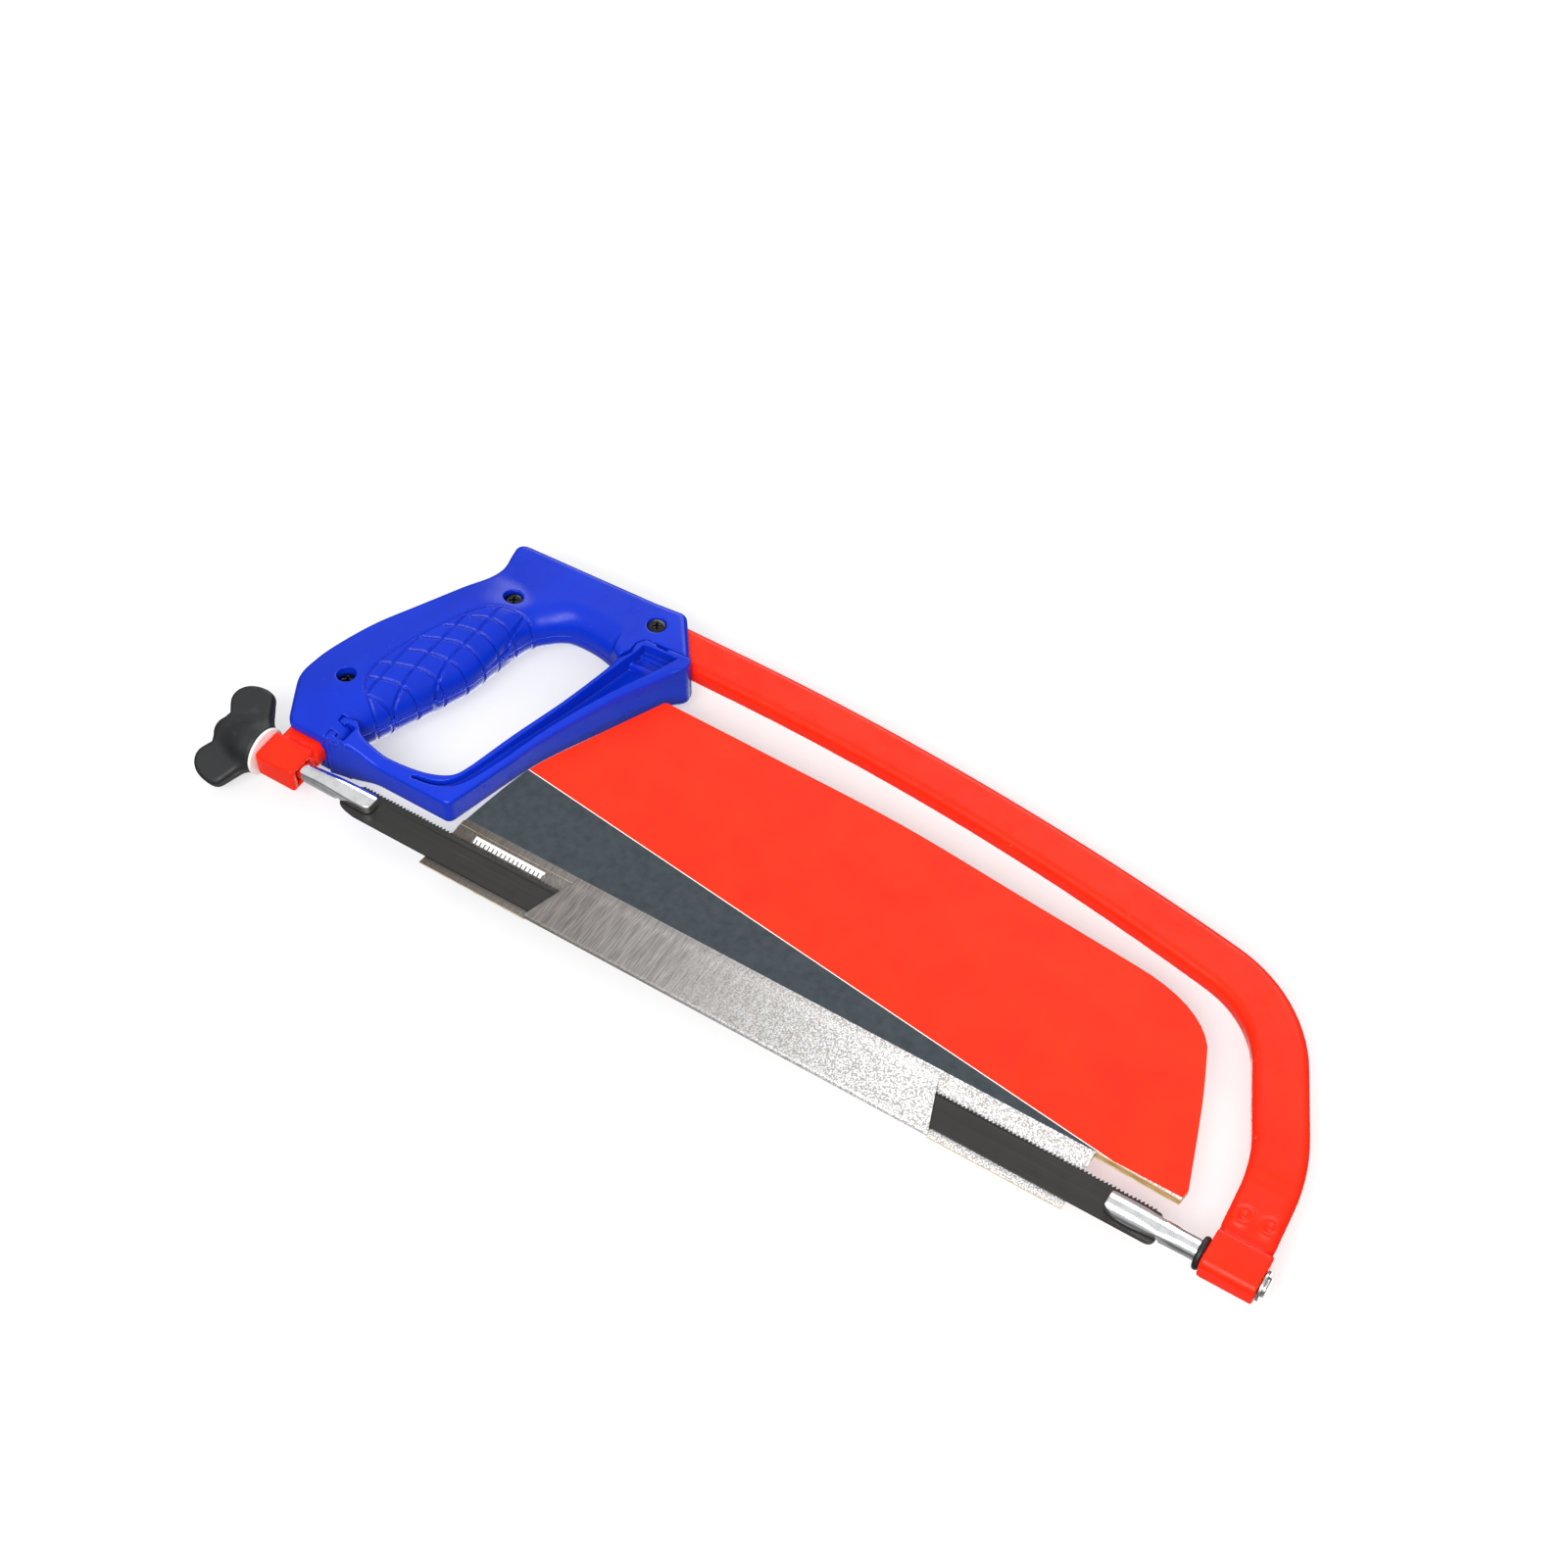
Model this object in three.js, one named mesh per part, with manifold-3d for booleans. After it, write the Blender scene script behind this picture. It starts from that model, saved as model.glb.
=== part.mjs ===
// A D-handled hacksaw frame with a 300 mm blade, as an assembly of separate pieces.
// Units are millimetres. While it is being built, X runs along the blade from the handle
// to the front, Z points from the blade to the spine, and the saw's middle plane is Y = 0.
// At the end everything is moved so that the centre of the whole saw's box is the origin.

import * as THREE from 'three';
import { mergeVertices } from 'three/addons/utils/BufferGeometryUtils.js';
import Module from 'manifold-3d';

const wasm = await Module();
wasm.setup();

// ---------- driving dimensions ----------

// blade
const BLADE_LENGTH = 313;
const BLADE_WIDTH = 12.6;
const BLADE_THICKNESS = 0.65;
const PIN_SPACING = 300;
const PIN_INSET = (BLADE_LENGTH - PIN_SPACING) / 2;
const PIN_DIAMETER = 3.6;
const PIN_HOLE = 4.1;
const PIN_REACH = 3.4;

// frame tube: a flat-oval steel tube, flattened at its front end
const TUBE_THICKNESS = 9;
const TUBE_CORNER = 3.6;
const TUBE_WALL = 1.3;
const TUBE_WIDTH_REAR = 16.4;
const TUBE_WIDTH_FRONT = 18.2;
const FLATTENED_THICKNESS = 6.4;
const FLATTENED_TOP = 33;

// round shanks, their sockets in the frame, and the stud
const SHANK_DIAMETER = 6;
const FRONT_SHANK_DIAMETER = 6.8;
const SOCKET_BORE = 6.95;
const SOCKET_SQUARE = 7.2;
const REAR_SOCKET = { from: -34.7, to: -18.3, bottom: -6, top: 6.6, depth: 10.6 };
const NECK_REAR = -32.2;
const FRONT_SOCKET = { from: 328, to: 346.8, bottom: -6.1, top: 8.4, depth: 10.4 };
const STUD_END = -53;
const RING_INNER = 2.9;
const RING_OUTER = 5.1;

// handle
const SHELL_DEPTH = 10;
const SHELL_EDGE = 3;
const GRIP_DEPTH = 13.4;
const GRIP_EDGE = 5.5;
const GUARD_DEPTH = 5.9;
const SHELL_FLOOR = 7.2;
const PARTING_GAP = 0.1;
const JOINT_GAP = 0.15;
const TUBE_CLEARANCE = 0.15;

// handle screws
const SCREW_PLACES = {
  rear: { x: -25.4, z: 35.2, seat: 7.4 },
  middle: { x: 1.5, z: 97.2, seat: 7.4 },
  front: { x: 51.7, z: 114.6, seat: 7.4 },
};
const SCREW_SHANK = 4;
const SCREW_HOLE = 4.2;
const SCREW_HEAD = 6.4;
const SCREW_HEAD_HEIGHT = 2.2;
const COUNTERBORE = 7;
const SCREW_TIP = 8.4;
const BOSS_DIAMETER = 10;

// wing nut
const WASHER = { from: -36, to: -34.8, outer: 8.9 };
const NUT_FACE = -36.1;
const NUT_LENGTH = 20.5;
const WING_REACH = 19.2;
const WING_THICKNESS = 7;
const WING_TURN = 22;
const INSERT_LENGTH = 12;
const INSERT_ACROSS_FLATS = 10;
const THREAD_BORE = 6.2;

// retail card that is threaded on the blade
const CARD_THICKNESS = 1.8;
const CARD_LAYER = 0.8;
const CARD_LIP = 9.2;

const COLOURS = {
  powderRed: 0xff3a1c,
  plasticBlue: 0x1a3fe0,
  plasticBlack: 0x1b1c1e,
  chrome: 0xd4d6d8,
  zinc: 0xb9bcc0,
  screwBlack: 0x111214,
  nylonWhite: 0xf0efec,
  rubber: 0x15171a,
  bladeBlack: 0x3a3b3d,
  card: 0xff4a20,
};

// ---------- solids: three.js geometry in, joined or cut geometry out ----------

function toSolid(geometry) {
  const bare = geometry.clone();
  bare.deleteAttribute('normal');
  bare.deleteAttribute('uv');
  const merged = mergeVertices(bare, 1e-4);
  return new wasm.Manifold(new wasm.Mesh({
    numProp: 3,
    vertProperties: Float32Array.from(merged.attributes.position.array),
    triVerts: Uint32Array.from(merged.index.array),
  }));
}

function toGeometry(solid) {
  const mesh = solid.getMesh();
  const geometry = new THREE.BufferGeometry();
  geometry.setAttribute('position', new THREE.BufferAttribute(mesh.vertProperties, 3));
  geometry.setIndex(new THREE.BufferAttribute(mesh.triVerts, 1));
  return geometry;
}

function join(...solids) {
  return solids.reduce((all, next) => all.add(next));
}

function cut(solid, ...tools) {
  return tools.reduce((rest, tool) => rest.subtract(tool), solid);
}

// The largest separate piece of a solid, without the slivers that a cut can leave behind.
function mainPiece(solid) {
  return solid.decompose().reduce((best, piece) => (piece.volume() > best.volume() ? piece : best));
}

// Extrude an outline drawn in (X, Z) from y = from to y = to, with rounded edges if asked.
function extrudeAcross(shape, from, to, { edge = 0, grow = 0, curveSegments = 8, edgeSegments = 3 } = {}) {
  const rim = edge > 0 ? edge : 0.01;
  const geometry = new THREE.ExtrudeGeometry(shape, {
    depth: to - from - 2 * rim,
    bevelEnabled: true,
    bevelThickness: rim,
    bevelSize: edge,
    bevelOffset: grow - edge,
    bevelSegments: edge > 0 ? edgeSegments : 1,
    curveSegments,
  });
  geometry.rotateX(Math.PI / 2);
  geometry.translate(0, to - rim, 0);
  return toSolid(geometry);
}

// Extrude an outline drawn in (Y, Z) from x = from to x = to.
function extrudeAlong(shape, from, to, { edge = 0, curveSegments = 8 } = {}) {
  const geometry = new THREE.ExtrudeGeometry(shape, {
    depth: to - from - 2 * edge,
    bevelEnabled: edge > 0,
    bevelThickness: edge,
    bevelSize: edge,
    bevelOffset: -edge,
    bevelSegments: 2,
    curveSegments,
  });
  geometry.rotateY(Math.PI / 2);
  geometry.rotateX(Math.PI / 2);
  geometry.translate(from + edge, 0, 0);
  return toSolid(geometry);
}

// A turned profile has to run forwards along its axis for its surface to face outwards.
function rising(profile) {
  const runsBack = profile[profile.length - 1][0] < profile[0][0];
  return runsBack ? [...profile].reverse() : profile;
}

// A body of revolution about a line parallel to X through (y, z); the profile is [x, radius].
function turnedAboutX(profile, { y = 0, z = 0, segments = 28 } = {}) {
  const points = rising(profile).map(([x, radius]) => new THREE.Vector2(radius, x));
  const geometry = new THREE.LatheGeometry(points, segments);
  geometry.rotateZ(-Math.PI / 2);
  geometry.translate(0, y, z);
  return toSolid(geometry);
}

// The same about a line parallel to Y through (x, z); the profile is [y, radius].
function turnedAboutY(profile, { x = 0, z = 0, segments = 24 } = {}) {
  const points = rising(profile).map(([y, radius]) => new THREE.Vector2(radius, y));
  const geometry = new THREE.LatheGeometry(points, segments);
  geometry.translate(x, 0, z);
  return toSolid(geometry);
}

function rodX(from, to, diameter, options) {
  const radius = diameter / 2;
  return turnedAboutX([[from, 0], [from, radius], [to, radius], [to, 0]], options);
}

function rodY(from, to, diameter, options) {
  const radius = diameter / 2;
  return turnedAboutY([[from, 0], [from, radius], [to, radius], [to, 0]], options);
}

// A closed outline through the given points; each [x, z, radius] corner with a radius is rounded.
function roundedOutline(corners) {
  const path = new THREE.Shape();
  const at = (index) => new THREE.Vector2(...corners[(index + corners.length) % corners.length]);
  corners.forEach(([, , radius = 0], index) => {
    const here = at(index);
    const back = at(index - 1).sub(here).normalize();
    const ahead = at(index + 1).sub(here).normalize();
    const halfAngle = Math.acos(THREE.MathUtils.clamp(back.dot(ahead), -1, 1)) / 2;
    const setback = radius > 0 ? radius / Math.tan(halfAngle) : 0;
    const start = here.clone().addScaledVector(back, setback);
    const end = here.clone().addScaledVector(ahead, setback);
    if (index === 0) {
      path.moveTo(start.x, start.y);
    } else {
      path.lineTo(start.x, start.y);
    }
    if (radius > 0) {
      path.quadraticCurveTo(here.x, here.y, end.x, end.y);
    }
  });
  path.closePath();
  return path;
}

function rectangle(x0, z0, x1, z1, radius = 0) {
  return roundedOutline([[x0, z0, radius], [x1, z0, radius], [x1, z1, radius], [x0, z1, radius]]);
}

// Add a smooth curve through the given [x, z] points to an outline.
function curveThrough(shape, points) {
  shape.splineThru(points.map(([x, z]) => new THREE.Vector2(x, z)));
}

// ---------- the tube's route: straights and bends in the saw's middle plane ----------

// Each station holds a centre point, the direction of travel and the distance run so far.
function planRoute(start, headingDegrees, moves) {
  let heading = THREE.MathUtils.degToRad(headingDegrees);
  let point = new THREE.Vector2(...start);
  let distance = 0;
  const stations = [{ point: point.clone(), heading, distance }];
  const advance = (length, turn) => {
    const middle = heading - turn / 2;
    const chord = turn === 0 ? length : (2 * length / turn) * Math.sin(turn / 2);
    point = point.clone().add(new THREE.Vector2(Math.cos(middle), Math.sin(middle)).multiplyScalar(chord));
    heading -= turn;
    distance += length;
    stations.push({ point: point.clone(), heading, distance });
  };
  for (const { straight, radius, turn, steps = 1 } of moves) {
    if (straight) {
      advance(straight, 0);
      continue;
    }
    const stepTurn = THREE.MathUtils.degToRad(turn / steps);
    for (let step = 0; step < steps; step += 1) {
      advance(radius * stepTurn, stepTurn);
    }
  }
  return stations;
}

// From the rear socket up through the grip, over the hand, along the spine and down the arm.
const ROUTE = planRoute([-25.2, 6], 90, [
  { straight: 14 },
  { radius: 60, turn: 22, steps: 4 },
  { straight: 60.6 },
  { radius: 28, turn: 68, steps: 9 },
  { straight: 57.1 },
  { radius: 1055, turn: 11, steps: 11 },
  { radius: 46, turn: 53.5, steps: 10 },
  { straight: 25.2 },
  { radius: 60, turn: 21.5, steps: 5 },
  { straight: 24 },
]);
const ROUTE_LENGTH = ROUTE[ROUTE.length - 1].distance;

// The outline of the tube seen from the side, between two distances along its route.
function tubeOutline(from, to, grow = 0) {
  const widthAt = (distance) => {
    const share = THREE.MathUtils.smoothstep(distance, 0.5 * ROUTE_LENGTH, 0.93 * ROUTE_LENGTH);
    return THREE.MathUtils.lerp(TUBE_WIDTH_REAR, TUBE_WIDTH_FRONT, share);
  };
  const used = ROUTE.filter(({ distance }) => distance >= from && distance <= to);
  const side = (sign) => used.map(({ point, heading, distance }) => {
    const reach = sign * (widthAt(distance) / 2 + grow);
    return new THREE.Vector2(point.x - Math.sin(heading) * reach, point.y + Math.cos(heading) * reach);
  });
  return new THREE.Shape([...side(1), ...side(-1).reverse()]);
}

// ---------- frame ----------

function tubeEnvelope(grow) {
  const half = TUBE_THICKNESS / 2 + grow;
  return extrudeAcross(tubeOutline(0, ROUTE_LENGTH, grow), -half, half, { edge: TUBE_CORNER });
}

function screwHolesThroughTube() {
  return Object.values(SCREW_PLACES).map(({ x, z }) => rodY(-9, 9, SCREW_HOLE, { x, z, segments: 16 }));
}

// Both faces of the arm are pressed in between the front socket and the crease.
function flatteningTools() {
  const half = FLATTENED_THICKNESS / 2;
  const deep = TUBE_THICKNESS;
  const profile = new THREE.Shape([
    new THREE.Vector2(half, FLATTENED_TOP - 5),
    new THREE.Vector2(half, -20),
    new THREE.Vector2(deep, -20),
    new THREE.Vector2(deep, FLATTENED_TOP + 3),
    new THREE.Vector2(TUBE_THICKNESS / 2 + 0.01, FLATTENED_TOP + 2),
  ]);
  const tool = extrudeAlong(profile, FRONT_SOCKET.from - 20, FRONT_SOCKET.to + 20);
  return [tool, tool.mirror([0, 1, 0])];
}

function frontSocket() {
  const { from, to, bottom, top, depth } = FRONT_SOCKET;
  const half = depth / 2;
  const section = roundedOutline([
    [-half, bottom, 3.2], [half, bottom, 3.2], [half, top, 1.4], [-half, top, 1.4],
  ]);
  return extrudeAlong(section, from, to, { edge: 0.5, curveSegments: 5 });
}

// Two punched dimples tie the flattened walls together.
function dimples() {
  const face = FLATTENED_THICKNESS / 2;
  const profile = [[face - 0.9, 0], [face - 0.9, 1], [face + 0.2, 2.3], [face + 0.2, 0]];
  const places = [[332.4, 16.6], [340.8, 17]];
  return places.flatMap(([x, z]) => [-1, 1].map((side) => turnedAboutY(
    profile.map(([y, radius]) => [side * y, radius]), { x, z, segments: 16 })));
}

function rearSocket() {
  const { from, to, bottom, top, depth } = REAR_SOCKET;
  const half = depth / 2;
  const outline = rectangle(from, bottom, to, top, 2.2);
  const block = extrudeAcross(outline, -half, half, { edge: 1, edgeSegments: 2 });
  const neck = extrudeAcross(rectangle(NECK_REAR, 0, to, 22, 0), -half + 0.4, half - 0.4, { edge: 2 });
  return join(block, neck);
}

function frameTube() {
  const arm = cut(tubeEnvelope(0), ...flatteningTools());
  const creaseDistance = ROUTE_LENGTH - 34;
  const inside = TUBE_THICKNESS / 2 - TUBE_WALL;
  const bore = tubeOutline(24, creaseDistance, -TUBE_WALL);
  const hollow = extrudeAcross(bore, -inside, inside, { edge: TUBE_CORNER - TUBE_WALL, edgeSegments: 2 });
  const squareHalf = SOCKET_SQUARE / 2;
  const square = rectangle(-squareHalf, -squareHalf, squareHalf, squareHalf, 0.8);
  const rearHole = extrudeAlong(square, REAR_SOCKET.from - 5, REAR_SOCKET.to + 5, { curveSegments: 3 });
  const frontHole = rodX(FRONT_SOCKET.from - 5, FRONT_SOCKET.to + 5, SOCKET_BORE);
  return cut(join(arm, frontSocket(), rearSocket()),
    hollow, rearHole, frontHole, ...dimples(), ...screwHolesThroughTube());
}

// ---------- handle ----------

// The keyed joint at the bottom of the grip: a T-shaped tab of the shells sits in the guard.
const TAB = {
  root: -16.3, neck: -13.6, head: -9.5,
  bottom: 12.8, neckBottom: 14.4, neckTop: 18.7, top: 19.7,
};

// The outline runs on under the guard at both ends; the guard's own outline is cut out later.
function shellOutline() {
  const shape = new THREE.Shape();
  shape.moveTo(-4, 12.4);
  shape.lineTo(-15, 9.9);
  shape.lineTo(-29.6, 9.8);
  shape.quadraticCurveTo(-32, 10, -33.8, 13.2);
  shape.lineTo(-40.4, 25.4);
  shape.quadraticCurveTo(-42.2, 28.8, -42, 33);
  curveThrough(shape, [[-40.9, 42], [-37.4, 54], [-33.2, 64.6], [-26, 78], [-18.5, 91.5], [-13.4, 100.5],
    [-11.2, 108], [-12.4, 115], [-13, 118.4]]);
  shape.quadraticCurveTo(-12.9, 121.9, -8.5, 122.2);
  shape.lineTo(45, 124.2);
  shape.lineTo(55.4, 125.2);
  shape.quadraticCurveTo(57.6, 125.3, 58.8, 123.6);
  shape.lineTo(70.6, 107.6);
  shape.lineTo(65, 95.5);
  shape.lineTo(50, 93.5);
  shape.lineTo(47.8, 95.6);
  curveThrough(shape, [[43.3, 97.9], [36.5, 99.8], [29.5, 100.5], [23, 99.8], [17.3, 95.7], [12, 89],
    [9.2, 77], [7.2, 64], [3.5, 54.1], [-3.9, 37.6], [-10.6, 22.6]]);
  shape.lineTo(-4, 18.4);
  shape.closePath();
  return shape;
}

// The swelling of the grip, where the palm and the fingers close.
function gripOutline() {
  const shape = new THREE.Shape();
  shape.moveTo(-37, 27);
  curveThrough(shape, [[-38.4, 36], [-35.6, 50], [-30, 64], [-21, 81], [-11, 97], [-2, 103], [7, 100],
    [9, 93], [6.4, 78], [4, 64], [-1.5, 50], [-9, 33], [-14, 24], [-22, 18], [-32, 19]]);
  shape.closePath();
  return shape;
}

// The space inside both shells that the tube and the screw bosses stand in.
function shellHollow() {
  const shape = new THREE.Shape();
  shape.moveTo(-30.2, 14);
  curveThrough(shape, [[-38.6, 29], [-38, 41], [-33.6, 56], [-26, 71], [-13, 96], [-8, 108], [-5, 118],
    [8, 119.4]]);
  shape.lineTo(52, 121.2);
  shape.lineTo(62.4, 110.4);
  shape.lineTo(47, 108.4);
  shape.lineTo(46, 102.5);
  curveThrough(shape, [[30, 104], [18, 101], [9.4, 92], [6, 77], [3.6, 65], [-2, 49], [-12, 27],
    [-17.4, 23]]);
  shape.lineTo(-20, 14);
  shape.closePath();
  return shape;
}

// Cross ribs that cradle the tube, each given by its middle, its angle and its half length.
function ribs(inner, outer) {
  const places = [
    [-23, 27, 4, 18], [-14.5, 58, 22, 21], [-5.5, 80, 22, 18], [17, 112, 120, 14], [34, 113, 90, 9],
  ];
  return places.map(([x, z, degrees, half]) => {
    const rib = extrudeAcross(rectangle(-half, -0.9, half, 0.9), inner, outer);
    return rib.rotate([0, degrees, 0]).translate([x, 0, z]);
  });
}

function handleShell(side) {
  const outer = join(
    extrudeAcross(shellOutline(), -SHELL_DEPTH, SHELL_DEPTH, { edge: SHELL_EDGE, curveSegments: 3 }),
    extrudeAcross(gripOutline(), -GRIP_DEPTH, GRIP_DEPTH, { edge: GRIP_EDGE, curveSegments: 2 }),
  );
  const hollow = extrudeAcross(shellHollow(), -SHELL_FLOOR, SHELL_FLOOR, { curveSegments: 2 });
  const innerForm = hollow.intersect(join(
    ...ribs(-SHELL_FLOOR - 1, SHELL_FLOOR + 1),
    ...Object.values(SCREW_PLACES).map(({ x, z }) => rodY(
      -SHELL_FLOOR - 1, SHELL_FLOOR + 1, BOSS_DIAMETER, { x, z, segments: 20 }))));
  const holes = Object.values(SCREW_PLACES).flatMap(({ x, z, seat }) => [
    rodY(-20, SCREW_TIP + 0.6, SCREW_HOLE, { x, z, segments: 16 }),
    rodY(-20, -seat, COUNTERBORE, { x, z }),
  ]);
  const halfSpace = extrudeAcross(
    rectangle(-60, 0, 90, 140), side < 0 ? -30 : PARTING_GAP, side < 0 ? -PARTING_GAP : 30);
  const guardRoom = extrudeAcross(guardOutline(), -20, 20, { grow: JOINT_GAP, curveSegments: 3 });
  const closed = join(cut(outer, hollow), innerForm);
  const rooms = [guardRoom, tubeEnvelope(TUBE_CLEARANCE), socketEnvelope()];
  return mainPiece(cut(closed, ...rooms, ...holes).intersect(halfSpace));
}

// Room for the socket's neck at the bottom of the grip.
function socketEnvelope() {
  const half = REAR_SOCKET.depth / 2 + TUBE_CLEARANCE;
  const { from, to } = REAR_SOCKET;
  const outline = rectangle(from - TUBE_CLEARANCE, -10, to + TUBE_CLEARANCE, 22 + TUBE_CLEARANCE);
  return extrudeAcross(outline, -half, half);
}

function guardOutline() {
  const shape = new THREE.Shape();
  shape.moveTo(TAB.root, 10);
  shape.quadraticCurveTo(-9, 11.9, -2, 11.9);
  shape.lineTo(32.6, 11.9);
  shape.quadraticCurveTo(35, 12, 35.7, 14.8);
  curveThrough(shape, [[41.8, 37.6], [46.8, 54], [56.6, 76.5], [66.2, 94.4]]);
  shape.lineTo(71.4, 103.2);
  shape.quadraticCurveTo(72.2, 105.4, 70.5, 108.2);
  shape.lineTo(52.4, 107);
  shape.lineTo(50.3, 104);
  shape.lineTo(50.3, 100);
  shape.lineTo(47.8, 95.6);
  curveThrough(shape, [[47, 88.5], [42.4, 70.1], [35.6, 48.5], [31.2, 30.5]]);
  curveThrough(shape, [[28.2, 23.6], [20.2, 19.6], [9, 17.9], [-1.5, 17.9], [-6.6, 19.2], [-11, 22.3]]);
  shape.lineTo(TAB.root, 21.3);
  shape.lineTo(TAB.root, TAB.neckTop);
  shape.lineTo(TAB.neck, TAB.neckTop);
  shape.lineTo(TAB.neck, TAB.top);
  shape.lineTo(TAB.head, TAB.top);
  shape.lineTo(TAB.head, TAB.bottom);
  shape.lineTo(TAB.neck, TAB.bottom);
  shape.lineTo(TAB.neck, TAB.neckBottom);
  shape.lineTo(TAB.root, TAB.neckBottom);
  shape.closePath();
  return shape;
}

// The groove that follows the inner rim and opens into the pocket under the spine.
function guardGroove() {
  const shape = new THREE.Shape();
  shape.moveTo(17.6, 14.7);
  shape.quadraticCurveTo(16.6, 15.6, 17.8, 16.3);
  curveThrough(shape, [[25, 18], [29.6, 21.7], [33, 29.5], [37.8, 47.6], [44.6, 69.6], [49.6, 89]]);
  shape.lineTo(52.6, 101);
  shape.lineTo(53, 104.7);
  shape.lineTo(66.6, 105.7);
  shape.lineTo(63, 96.4);
  curveThrough(shape, [[53.6, 77.6], [44.6, 56.5], [36.6, 29.6], [32.4, 20.6], [26, 16.4], [17.6, 14.7]]);
  shape.closePath();
  return shape;
}

// Half the guard's thickness: thick at the spine, thin at the lower corner, thick at the key.
function guardThickness() {
  const thin = GUARD_DEPTH;
  const thick = SHELL_DEPTH - 0.4;
  const sideways = new THREE.Shape([
    new THREE.Vector2(-thin, 0), new THREE.Vector2(thin, 0), new THREE.Vector2(thin, 40),
    new THREE.Vector2(thick, 96), new THREE.Vector2(thick, 120), new THREE.Vector2(-thick, 120),
    new THREE.Vector2(-thick, 96), new THREE.Vector2(-thin, 40),
  ]);
  const plan = new THREE.Shape([
    new THREE.Vector2(-30, -SHELL_DEPTH), new THREE.Vector2(-9, -SHELL_DEPTH), new THREE.Vector2(4, -thin),
    new THREE.Vector2(90, -thin), new THREE.Vector2(90, thin), new THREE.Vector2(4, thin),
    new THREE.Vector2(-9, SHELL_DEPTH), new THREE.Vector2(-30, SHELL_DEPTH),
  ]);
  const planGeometry = new THREE.ExtrudeGeometry(plan, { depth: 30, bevelEnabled: false });
  return join(extrudeAlong(sideways, 20, 90), toSolid(planGeometry));
}

function knuckleGuard() {
  const body = extrudeAcross(guardOutline(), -10, 10, { curveSegments: 3 }).intersect(guardThickness());
  const grooves = [-1, 1].map((side) => extrudeAcross(
    guardGroove(), side < 0 ? -12 : 3, side < 0 ? -3 : 12, { curveSegments: 3 }));
  return cut(body, ...grooves, tubeEnvelope(TUBE_CLEARANCE), socketEnvelope());
}

function handleScrew({ x, z, seat }) {
  const top = -seat - SCREW_HEAD_HEIGHT;
  const head = turnedAboutY([
    [top, 0], [top + 0.1, 1.7], [top + 0.9, 2.8], [-seat - 0.2, SCREW_HEAD / 2], [-seat, SCREW_HEAD / 2],
    [-seat, 0],
  ], { x, z, segments: 20 });
  const shank = turnedAboutY([
    [-seat - 1, 0], [-seat - 1, SCREW_SHANK / 2], [SCREW_TIP - 2, SCREW_SHANK / 2], [SCREW_TIP, 0.6],
    [SCREW_TIP, 0],
  ], { x, z, segments: 16 });
  const arm = (degrees) => extrudeAcross(rectangle(-1.7, -0.45, 1.7, 0.45), top - 1, top + 1.2)
    .rotate([0, degrees, 0]).translate([x, 0, z]);
  return cut(join(head, shank), arm(30), arm(120));
}

// ---------- blade, holders and their fixings ----------

function blade() {
  const half = BLADE_WIDTH / 2;
  const outline = rectangle(0, -half, BLADE_LENGTH, half, 3);
  const plate = extrudeAcross(outline, -BLADE_THICKNESS / 2, BLADE_THICKNESS / 2, { curveSegments: 4 });
  const holes = [PIN_INSET, BLADE_LENGTH - PIN_INSET].map((x) => rodY(-2, 2, PIN_HOLE, { x, segments: 20 }));
  return cut(plate, ...holes);
}

const HOLDER_FACE = -BLADE_THICKNESS / 2 - 0.05;
const HOLDER_DEPTH = 4.2;

function pinSocket(x) {
  return rodY(HOLDER_FACE - 2.6, 1, PIN_DIAMETER + 0.1, { x, segments: 20 });
}

// The tension bolt: a flat paddle that carries the blade's rear pin, and a threaded stud.
function tensionBolt() {
  const start = REAR_SOCKET.to + 0.5;
  const tip = 12.6;
  const paddle = roundedOutline([
    [start, -2.8, 0], [-4, -3.5, 6], [tip, -3.7, 3], [tip, 3.7, 3], [-4, 3.5, 6], [start, 2.8, 0],
  ]);
  const flat = extrudeAcross(paddle, HOLDER_FACE - HOLDER_DEPTH, HOLDER_FACE, { edge: 0.9, edgeSegments: 2 });
  const shank = turnedAboutX([
    [STUD_END, 0], [STUD_END, 2.2], [STUD_END + 1, SHANK_DIAMETER / 2], [-6, SHANK_DIAMETER / 2], [-3, 2],
    [-3, 0],
  ]);
  const bladeRoom = extrudeAcross(rectangle(-0.6, -8, 20, 8), HOLDER_FACE, 8);
  return cut(join(flat, cut(shank, bladeRoom)), pinSocket(PIN_INSET));
}

// The front holder: the same paddle, cut off square, on a shank with a groove for the ring.
function frontHolder() {
  const start = 294.5;
  const paddle = roundedOutline([
    [start, -3.4, 1.4], [303, -4.6, 8], [320, -3.1, 2], [320, 3.1, 2], [303, 3.5, 8], [start, 3.4, 1.4],
  ]);
  const flat = extrudeAcross(paddle, HOLDER_FACE - HOLDER_DEPTH, HOLDER_FACE, { edge: 0.7, edgeSegments: 2 });
  const ringAt = FRONT_SOCKET.to + 0.2;
  const radius = FRONT_SHANK_DIAMETER / 2;
  const neck = RING_INNER - 0.1;
  const shank = turnedAboutX([
    [311, 0], [311, 2], [315, radius], [ringAt, radius], [ringAt, neck], [ringAt + 1.1, neck],
    [ringAt + 1.1, radius], [ringAt + 1.6, radius], [ringAt + 2.2, radius - 0.8], [ringAt + 2.2, 0],
  ]);
  const bladeRoom = extrudeAcross(rectangle(300, -8, BLADE_LENGTH + 0.6, 8), HOLDER_FACE, 8);
  return cut(join(flat, cut(shank, bladeRoom)), pinSocket(BLADE_LENGTH - PIN_INSET));
}

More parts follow.
